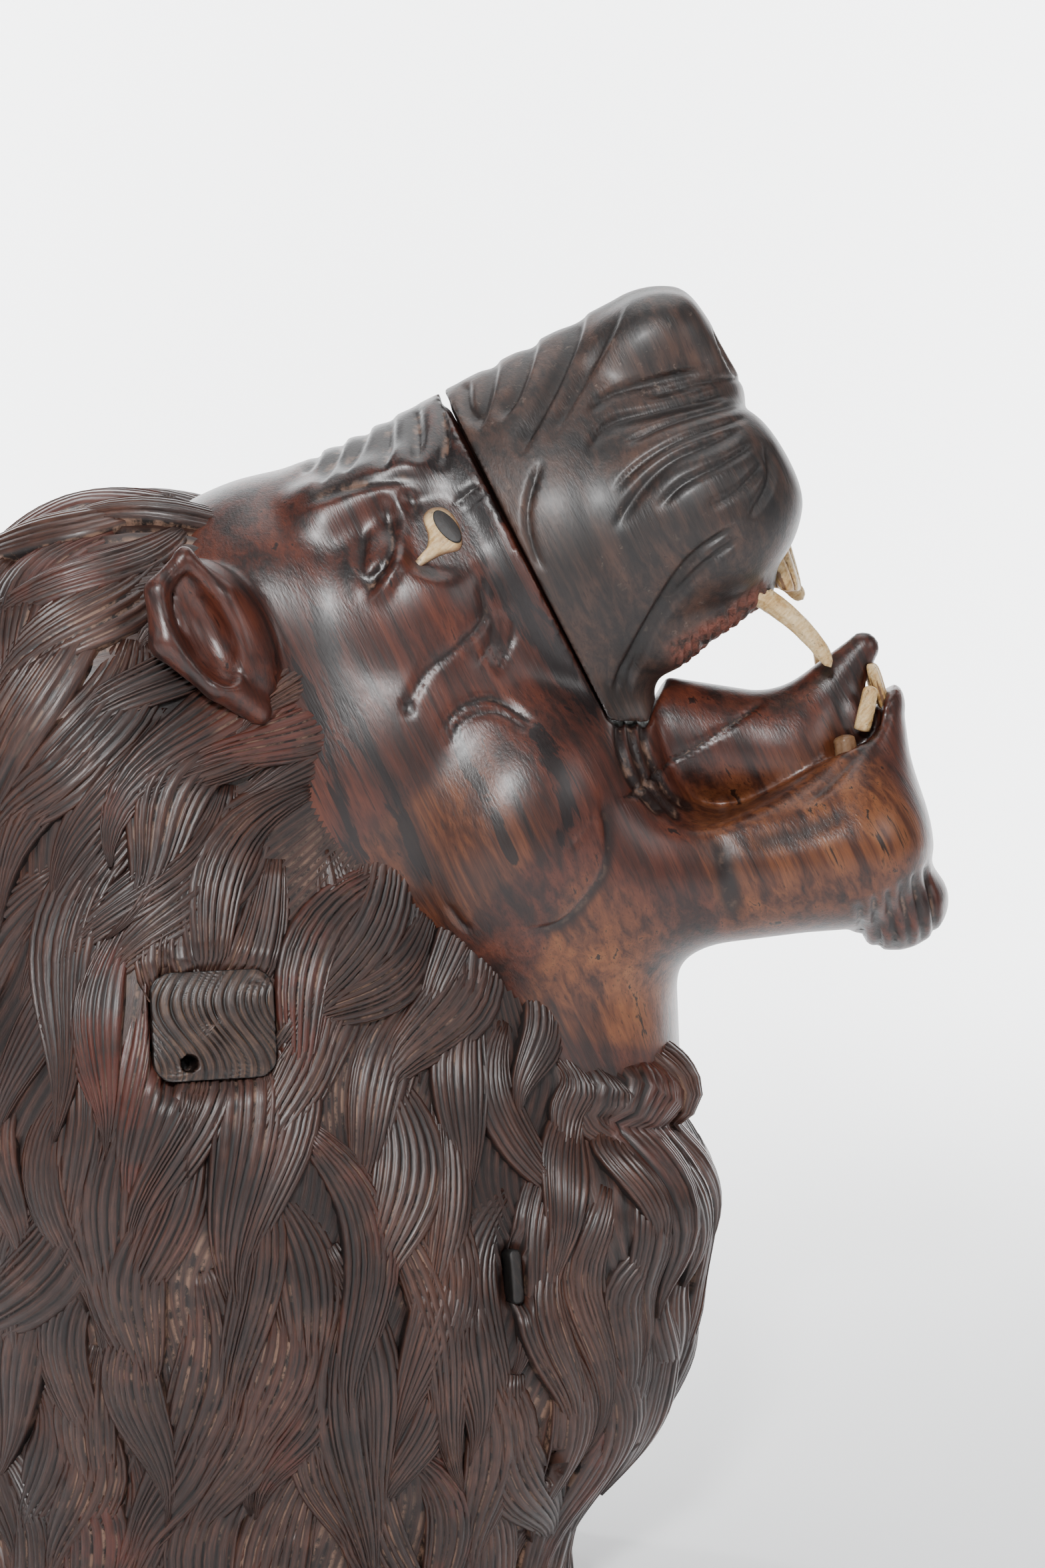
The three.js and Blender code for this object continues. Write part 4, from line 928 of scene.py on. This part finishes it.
# The repair: a round-cornered piece of the same wood let into the mane, its hair cut to carry on the locks
# around it, with a hole bored through near its lower edge.
PATCH_HAIR = {"pitch": 3.1, "drift": 0.35, "deep": 1.1, "wave": 5.5, "long": 46, "start": 4, "rise": 2.6,
              "crown": 1.4, "rubbed": 0.5}
PATCH_HOLE = {"at": (-9, -12.5), "radius": 2.7, "deep": 9, "soft": 0.5}
PATCH_MESH = {"rings": 46, "columns": 144}


def round_cornered(half, corner, columns):
    """The outline of a rectangle with round corners: from its middle out to where the distance is nil."""
    angle = np.linspace(0, 2 * math.pi, columns, endpoint=False)
    reach = np.full(columns, min(half))
    for _ in range(40):
        reach = reach - outside_of(reach * np.cos(angle), reach * np.sin(angle), half, corner)
    return np.stack((reach * np.cos(angle), reach * np.sin(angle)), 1)


def inlaid(outline, place, face_height, deep, rings):
    """A plug in the wood: rings of its outline shrunk towards its middle, at the height that the face has
    there, then straight down to its underside; both middles closed. The last value is each point's share of
    the way out."""
    at, along, up, out = place
    middle = outline.mean(0)
    shares = np.concatenate((np.linspace(0, 1, rings) ** 0.8, (1, 0)))
    flat = middle + (outline - middle) * shares[:, None, None]
    height = face_height(flat[..., 0], flat[..., 1], shares[:, None])
    height[-2:] = -deep
    points = at + flat[..., :1] * along + flat[..., 1:] * up + height[..., None] * out
    faces = ring_faces(len(shares), len(outline), turned=True)
    return points.reshape(-1, 3), faces, flat.reshape(-1, 2), np.repeat(shares, len(outline))


def patch_run(a, b):
    """Distance across the hair: straight across, plus a sine of the distance down that makes it wave."""
    return a + PATCH_HAIR["wave"] * np.sin(2 * math.pi * (b + PATCH_HAIR["start"]) / PATCH_HAIR["long"])


def patch_valleys(run):
    """0 on the ridges and 1 in the narrow valleys of the hair: the distance from the nearest ridge in
    pitches, which drift slowly from wide to narrow, through a smooth step."""
    drift = PATCH_HAIR["drift"] * np.sin(run / PATCH_HAIR["pitch"])
    return smoothstep(0.5, 1.0, np.abs((run / PATCH_HAIR["pitch"] + drift) % 1 - 0.5) * 2)


def patch_face(a, b, share):
    """A low crown, its edge rubbed down by the eighth power of the share out, with the hair's valleys and
    the bored hole."""
    face = PATCH_HAIR["rise"] + PATCH_HAIR["crown"] * (1 - share ** 2) - PATCH_HAIR["rubbed"] * share ** 8
    face = face - PATCH_HAIR["deep"] * patch_valleys(patch_run(a, b))
    off = np.hypot(a - PATCH_HOLE["at"][0], b - PATCH_HOLE["at"][1]) - PATCH_HOLE["radius"]
    return face - PATCH_HOLE["deep"] * (1 - smoothstep(-PATCH_HOLE["soft"], PATCH_HOLE["soft"], off))


patch_place = plane_of(PATCH["at"], PATCH["normal"])
patch_outline = round_cornered(PATCH["half"], PATCH["corner"], PATCH_MESH["columns"])
patch_points, patch_faces, patch_flat, patch_share = inlaid(
    patch_outline, patch_place, patch_face, PATCH["under"], PATCH_MESH["rings"])
patch_across = patch_run(*patch_flat.T)
# The hollow mark paints shade in the hair's valleys and down the bored hole, and the dark seam round the
# edge.
patch_hollow = np.maximum(patch_valleys(patch_across), smoothstep(0.97, 1.0, patch_share))
hole_off = np.hypot(*(patch_flat - PATCH_HOLE["at"]).T)
hole_shade = 1 - smoothstep(PATCH_HOLE["radius"], PATCH_HOLE["radius"] + 0.6, hole_off)
patch_hollow = np.maximum(patch_hollow, hole_shade)
patch_wood, place = begin("repair_wood")
hair = hair_of(place)
grime = place.noise(150, 5, 0.7)
color = (hair * 0.6 + grime * 0.4).ramp((0.38, "#1a110e"), (0.5, "#37261f"), (0.64, "#58402f"))
# Painted shade in the valleys and the bored hole, and the dark edge seam, by the hollow mark.
valleys = place.mark("hollow")
color = color.mixed("#0c0706", valleys.between(0.2, 0.8) * 0.9)
finished(place, color, 0.3 + grime * 0.25, ((hair, 0.4, 0.0006), (grime, 0.25, 0.0004)), 0.1)
patch = carving("repair_patch", patch_points, patch_faces, {"hollow": patch_hollow},
                np.stack((patch_across, patch_flat[:, 1]), 1))
patch.data.materials.append(patch_wood)
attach(patch, "root")
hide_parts("mane_repair_patch")

# The peg lower down on the neck: black horn driven into the wood, slightly domed and rubbed to a soft gloss.
# The pupils are of the same horn.
HORN_MESH = {"rings": 14, "columns": 48}
PEG_FACE = {"rise": 3.2, "rubbed": 0.9}
horn, place = begin("black_horn")
spots = place.noise(420, 4, 0.65)
streaks = grain_of(place, WOOD_LEAN, 0.006, 0.0006).noise(1.0, 3)
color = (spots * 0.5 + streaks * 0.5).ramp((0.4, "#100c0b"), (0.55, "#1d1614"), (0.7, "#33261f"))
color = color.mixed("#070504", place.mark("edge").between(0.86, 1.0) * 0.9)
finished(place, color, 0.42 + spots * 0.25, ((spots, 0.25, 0.0003), (streaks, 0.2, 0.0002)))


def inlay_piece(name, made, material, node):
    """A plug or tooth as a piece that stands for its CAD node; the mark says where it is darkened."""
    points, faces, flat, edge = made
    piece = carving(name, points, faces, {"edge": edge}, flat)
    piece.data.materials.append(material)
    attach(piece, "root")
    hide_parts(node)


def peg_face(a, b, share):
    """Nearly flat, rubbed down towards the edge by the fourth power of the share out."""
    return PEG_FACE["rise"] - PEG_FACE["rubbed"] * share ** 4


peg_outline = round_cornered(PEG["half"], PEG["corner"], HORN_MESH["columns"])
peg_place = plane_of(PEG["at"], PEG["normal"])
peg_made = inlaid(peg_outline, peg_place, peg_face, PEG["under"], HORN_MESH["rings"])
inlay_piece("neck_peg", peg_made, horn, "mane_peg")

# The eyes: plates of bone cut to the shape of the open lids, polished to a low dome over a dark glue seam;
# the pupil is let into the bone.
EYE_OUTLINE = ((-0.25, 11.2), (2.7, 9.7), (5.0, 6.7), (6.6, 2.7), (7.1, -0.9), (6.9, -3.2), (5.6, -4.9),
               (1.7, -5.9), (-1.6, -7.2), (-5.5, -9.5), (-8.9, -11.7), (-9.4, -8.9), (-6.1, -5.2),
               (-5.0, -1.9), (-5.1, 1.4), (-6.5, 6.1), (-6.0, 8.7), (-3.8, 10.7))
EYE_SHAPE = {"rise": 1.1, "edge": 0.35, "deep": 5, "columns": 96, "rings": 20}
PUPIL = {"middle": (1.9, 3.5), "half": (7.1, 3.2), "turn": -53, "rise": 0.9, "step": 1.0, "deep": 3}
CLOSED_RUN = {"wrap": 3, "fine": 8}


def closed_run(points, count):
    """A smooth closed curve through the points: the run with some points of the far end on each side."""
    points = np.asarray(points, float)
    wrap, fine = CLOSED_RUN["wrap"], CLOSED_RUN["fine"]
    wrapped = np.concatenate((points[-wrap:], points, points[:wrap + 1]))
    run = smooth_run(wrapped, (len(wrapped) - 1) * fine + 1)
    whole = run[wrap * fine:(wrap + len(points)) * fine]
    return whole[np.linspace(0, len(whole), count, endpoint=False).astype(int)]


def eye_face(a, b, share):
    """A low dome over the edge: rise times 1 less the square of the share out."""
    return EYE_SHAPE["edge"] + EYE_SHAPE["rise"] * (1 - share ** 2)


def pupil_face(a, b, share):
    """A step above the bone's edge, with a lower dome that keeps half its rise at its own edge."""
    return PUPIL["step"] + EYE_SHAPE["edge"] + PUPIL["rise"] * (1 - 0.5 * share ** 2)


# The bone's streaks lean back going down, by degrees
BONE_LEAN = -46
old_bone, place = begin("old_bone")
clouds = place.noise(55, 4, 0.6)
pores = place.noise(600, 4, 0.7)
streaks = grain_of(place, BONE_LEAN, 0.012, 0.0011).noise(1.0, 4, 0.6)
ripple = clouds * 0.45 + streaks * 0.35 + pores * 0.2
color = ripple.ramp((0.36, "#8a6538"), (0.46, "#b8935f"), (0.56, "#d6bb8e"), (0.7, "#e8d6b2"))
color = color.mixed("#4a2f1e", pores.between(0.56, 0.7) * 0.7)
color = color.mixed("#4f2d1b", place.mark("edge").between(0.7, 1.0) * 0.85)
finished(place, color, 0.34 + pores * 0.2, ((pores, 0.3, 0.0003), (streaks, 0.2, 0.0003)), 0.1)
pupil_turn = math.radians(PUPIL["turn"])
oval = np.linspace(0, 2 * math.pi, HORN_MESH["columns"], endpoint=False)
oval_a, oval_b = PUPIL["half"][0] * np.cos(oval), PUPIL["half"][1] * np.sin(oval)
pupil_a = PUPIL["middle"][0] + oval_a * math.cos(pupil_turn) - oval_b * math.sin(pupil_turn)
pupil_b = PUPIL["middle"][1] + oval_a * math.sin(pupil_turn) + oval_b * math.cos(pupil_turn)
pupil_outline = np.stack((pupil_a, pupil_b), 1)
for hand, side_name in ((-1, "right"), (1, "left")):
    eye_place = plane_of(np.array(EYE["at"]) * (1, hand, 1), np.array(EYE["normal"]) * (1, hand, 1))
    shape = closed_run(EYE_OUTLINE, EYE_SHAPE["columns"]) * (-hand, 1)
    oval_shape = pupil_outline * (-hand, 1)
    if hand == 1:
        shape, oval_shape = shape[::-1], oval_shape[::-1]
    eye_made = inlaid(shape, eye_place, eye_face, EYE_SHAPE["deep"], EYE_SHAPE["rings"])
    inlay_piece("bone_eye_" + side_name, eye_made, old_bone, "eye_" + side_name)
    pupil_made = inlaid(oval_shape, eye_place, pupil_face, PUPIL["deep"], HORN_MESH["rings"])
    inlay_piece("horn_pupil_" + side_name, pupil_made, horn, "pupil_" + side_name)

# The teeth: canines and a corner incisor of bone, each whittled to a curved peg and set in a bored hole,
# and two curved strips of bone with the small front teeth scored across them. The lower right canine is
# broken off to a stub. For each: the places its middle line runs through and the radius at each.
CANINES = {
    "upper_canine_right": (
        ((176, -19, 395), (190, -20, 389), (203, -20, 380), (213, -19.5, 370), (219, -19, 361)),
        (4.3, 4.2, 3.9, 3.3, 2.5)),
    "upper_canine_left": (
        ((188, 23, 398), (199, 23, 394), (207, 23, 390), (213, 23, 384)), (3.4, 3.5, 3.3, 2.8)),
    "lower_canine_left": (
        ((224, 15, 330), (223, 15.5, 342), (221, 16, 353), (217, 16, 371)), (3.5, 3.2, 2.8, 2.0)),
    "lower_canine_stub_right": (
        ((226, -15, 322), (225, -16, 331), (224, -16, 336)), (4.4, 4.2, 3.8)),
    "lower_corner_incisor_right": (
        ((231, -13, 337), (233, -13.5, 346), (234.5, -13.5, 354)), (3.0, 3.1, 2.6)),
}
TOOTH = {"rings": 30, "sides": 28, "round": 0.14, "rough": 0.016, "seed": 8, "broad_flats": 0.05,
         "narrow_flats": 0.03, "darkening": 1.6, "darkest": 0.95}
carve = np.random.default_rng(TOOTH["seed"])


def whittled(path, radius):
    """A tube along a smooth run, its radius between the given ones, closed by a quarter round at its tip:
    radius times sqrt(1 - u^2) over the last part. Its sides keep low flats from the knife."""
    t = np.linspace(0, 1, TOOTH["rings"])
    line = smooth_run(path, 200)
    length = np.concatenate(([0], np.cumsum(np.linalg.norm(np.diff(line, axis=0), axis=1))))
    place = np.stack([np.interp(t * length[-1], length, line[:, k]) for k in range(3)], 1)
    size = np.interp(t, np.linspace(0, 1, len(radius)), radius)
    size = size * np.sqrt(np.maximum(1 - (np.maximum(t - 1 + TOOTH["round"], 0) / TOOTH["round"]) ** 2, 0))
    size[0] = 0
    tangent = np.gradient(place, axis=0)
    tangent /= np.linalg.norm(tangent, axis=1)[:, None]
    first = np.cross((0, 1, 0), tangent)
    first /= np.linalg.norm(first, axis=1)[:, None]
    second = np.cross(tangent, first)
    angle = np.linspace(0, 2 * math.pi, TOOTH["sides"], endpoint=False)
    flats = 1 + TOOTH["broad_flats"] * np.cos(5 * angle + 2 * t[:, None])
    flats = flats + TOOTH["narrow_flats"] * np.cos(9 * angle - 3 * t[:, None])
    flats = flats + carve.normal(0, TOOTH["rough"], flats.shape)
    ring = np.cos(angle)[:, None] * first[:, None] + np.sin(angle)[:, None] * second[:, None]
    points = place[:, None] + ring * (size[:, None] * flats)[..., None]
    root = np.repeat(np.clip(1 - t * TOOTH["darkening"], 0, 1) * TOOTH["darkest"], TOOTH["sides"])
    return points.reshape(-1, 3), ring_faces(TOOTH["rings"], TOOTH["sides"]), root


for name, (path, radius) in CANINES.items():
    points, faces, root = whittled(path, radius)
    darkening = np.ones(len(root)) if "stub" in name else root
    inlay_piece(name + "_bone", (points, faces, None, darkening), old_bone, name)

STRIPS = {
    "upper_incisor_strip": {"middle": (190, 399), "radius": 15, "spread": 62, "high": 21, "thick": 5,
                            "lean": 0.28, "teeth": 6, "slant": 0.35},
    "lower_incisor_strip": {"middle": (228, 353), "radius": 11, "spread": 36, "high": 17, "thick": 4.5,
                            "lean": 0.3, "teeth": 4, "slant": 0.2},
}
STRIP_MESH = {"along": 120, "round": 36}
SCORE = {"deep": 0.75, "narrow": 5, "notch": 0.06}
STRIP_WIDER = 1.15


def squared(wave):
    """A cosine or sine to the power 0.5 with its sign kept, which makes a circle a rounded square."""
    return np.sign(wave) * np.abs(wave) ** 0.5


def scored_strip(strip):
    """A bent bar: round its section, a rounded rectangle; along it, an arc about an upright axis, stretched
    sideways. The score lines between teeth are narrow bells in angle plus slant times height."""
    spread = math.radians(strip["spread"])
    run = np.linspace(-1, 1, STRIP_MESH["along"])[:, None]
    turn = np.linspace(0, 2 * math.pi, STRIP_MESH["round"], endpoint=False)[None, :]
    end = np.maximum(1 - np.abs(run) ** 24, 0) ** 0.5
    out = squared(np.cos(turn)) * end
    high = squared(np.sin(turn)) * end
    phase = (run + 1) / 2 * strip["teeth"] + strip["slant"] * high
    between = np.abs(phase - np.round(phase)) * SCORE["narrow"]
    score = np.exp(-between ** 2 * 2) * (np.abs(out) > 0.3)
    reach = strip["radius"] + out * (strip["thick"] / 2 - SCORE["deep"] * score)
    angle = spread * run
    rise = high * (strip["high"] / 2 * (1 - SCORE["notch"] * score))
    x = strip["middle"][0] - rise * strip["lean"] + reach * np.cos(angle)
    points = np.stack((x, reach * np.sin(angle) * STRIP_WIDER, strip["middle"][1] + rise), -1)
    faces = ring_faces(STRIP_MESH["along"], STRIP_MESH["round"], turned=True)
    # Darker in the score lines between the teeth.
    darkening = (0.8 + 0.2 * score) * (score > 0.4)
    return points.reshape(-1, 3), faces, darkening.ravel()


for name, strip in STRIPS.items():
    points, faces, darkening = scored_strip(strip)
    inlay_piece(name + "_bone", (points, faces, None, darkening), old_bone, name)

# The room: a pale floor that curves up into the backdrop, and soft lights around the camera
FLOOR = {"wide": 9.0, "front": -9.0, "bend": 1.6, "radius": 1.2, "high": 4.0, "steps": 24, "below": 0.0005}
bend = np.linspace(0, math.pi / 2, FLOOR["steps"])
profile_y = np.concatenate(([FLOOR["front"]], FLOOR["bend"] + FLOOR["radius"] * np.sin(bend),
                            [FLOOR["bend"] + FLOOR["radius"]]))
profile_z = np.concatenate(([0.0], FLOOR["radius"] * (1 - np.cos(bend)), [FLOOR["high"]]))
profile_z -= FLOOR["below"]
sides = np.array([-FLOOR["wide"], FLOOR["wide"]])
room_points = np.stack(np.broadcast_arrays(sides, profile_y[:, None], profile_z[:, None]), -1).reshape(-1, 3)
row = np.arange(len(profile_y) - 1)[:, None] * 2
room_faces = row + np.array([0, 1, 3, 2])
paper, place = begin("pale_paper")
finished(place, shade("#f4f5f6"), 0.9, ((place.noise(30, 2), 0.02, 0.001),))
room = carving("floor_and_backdrop", room_points * 1000, room_faces, {})
room.data.materials.append(paper)

# Each light: where it stands, what it looks at, its size in metres and its power in watts
LIGHTS = (
    ("key_softbox", (-0.08, -1.45, 1.05), (0.08, 0, 0.3), 0.20, 26),
    ("fill_softbox", (-1.3, -1.1, 0.9), (0.0, 0, 0.25), 0.6, 4),
    ("side_softbox", (1.3, -0.9, 0.9), (0.1, 0, 0.3), 0.5, 4),
    ("top_softbox", (0.1, 0.25, 1.9), (0.05, 0, 0.3), 1.3, 15),
    ("backdrop_left", (-1.6, 0.9, 1.2), (-0.6, 2.8, 1.0), 1.4, 195),
    ("backdrop_right", (1.8, 0.9, 1.2), (0.8, 2.8, 1.0), 1.4, 195),
)
for name, at, aim, size, power in LIGHTS:
    lamp_data = bpy.data.lights.new(name, "AREA")
    lamp_data.size = size
    lamp_data.energy = power
    lamp = bpy.data.objects.new(name, lamp_data)
    lamp.location = at
    lamp.rotation_euler = (Vector(aim) - Vector(at)).to_track_quat("-Z", "Y").to_euler()
    bpy.context.collection.objects.link(lamp)
WORLD = {"Color": (0.95, 0.97, 1.0, 1), "Strength": 0.25}
world = bpy.data.worlds.new("studio")
world.use_nodes = True
for name, value in WORLD.items():
    world.node_tree.nodes["Background"].inputs[name].default_value = value
bpy.context.scene.world = world
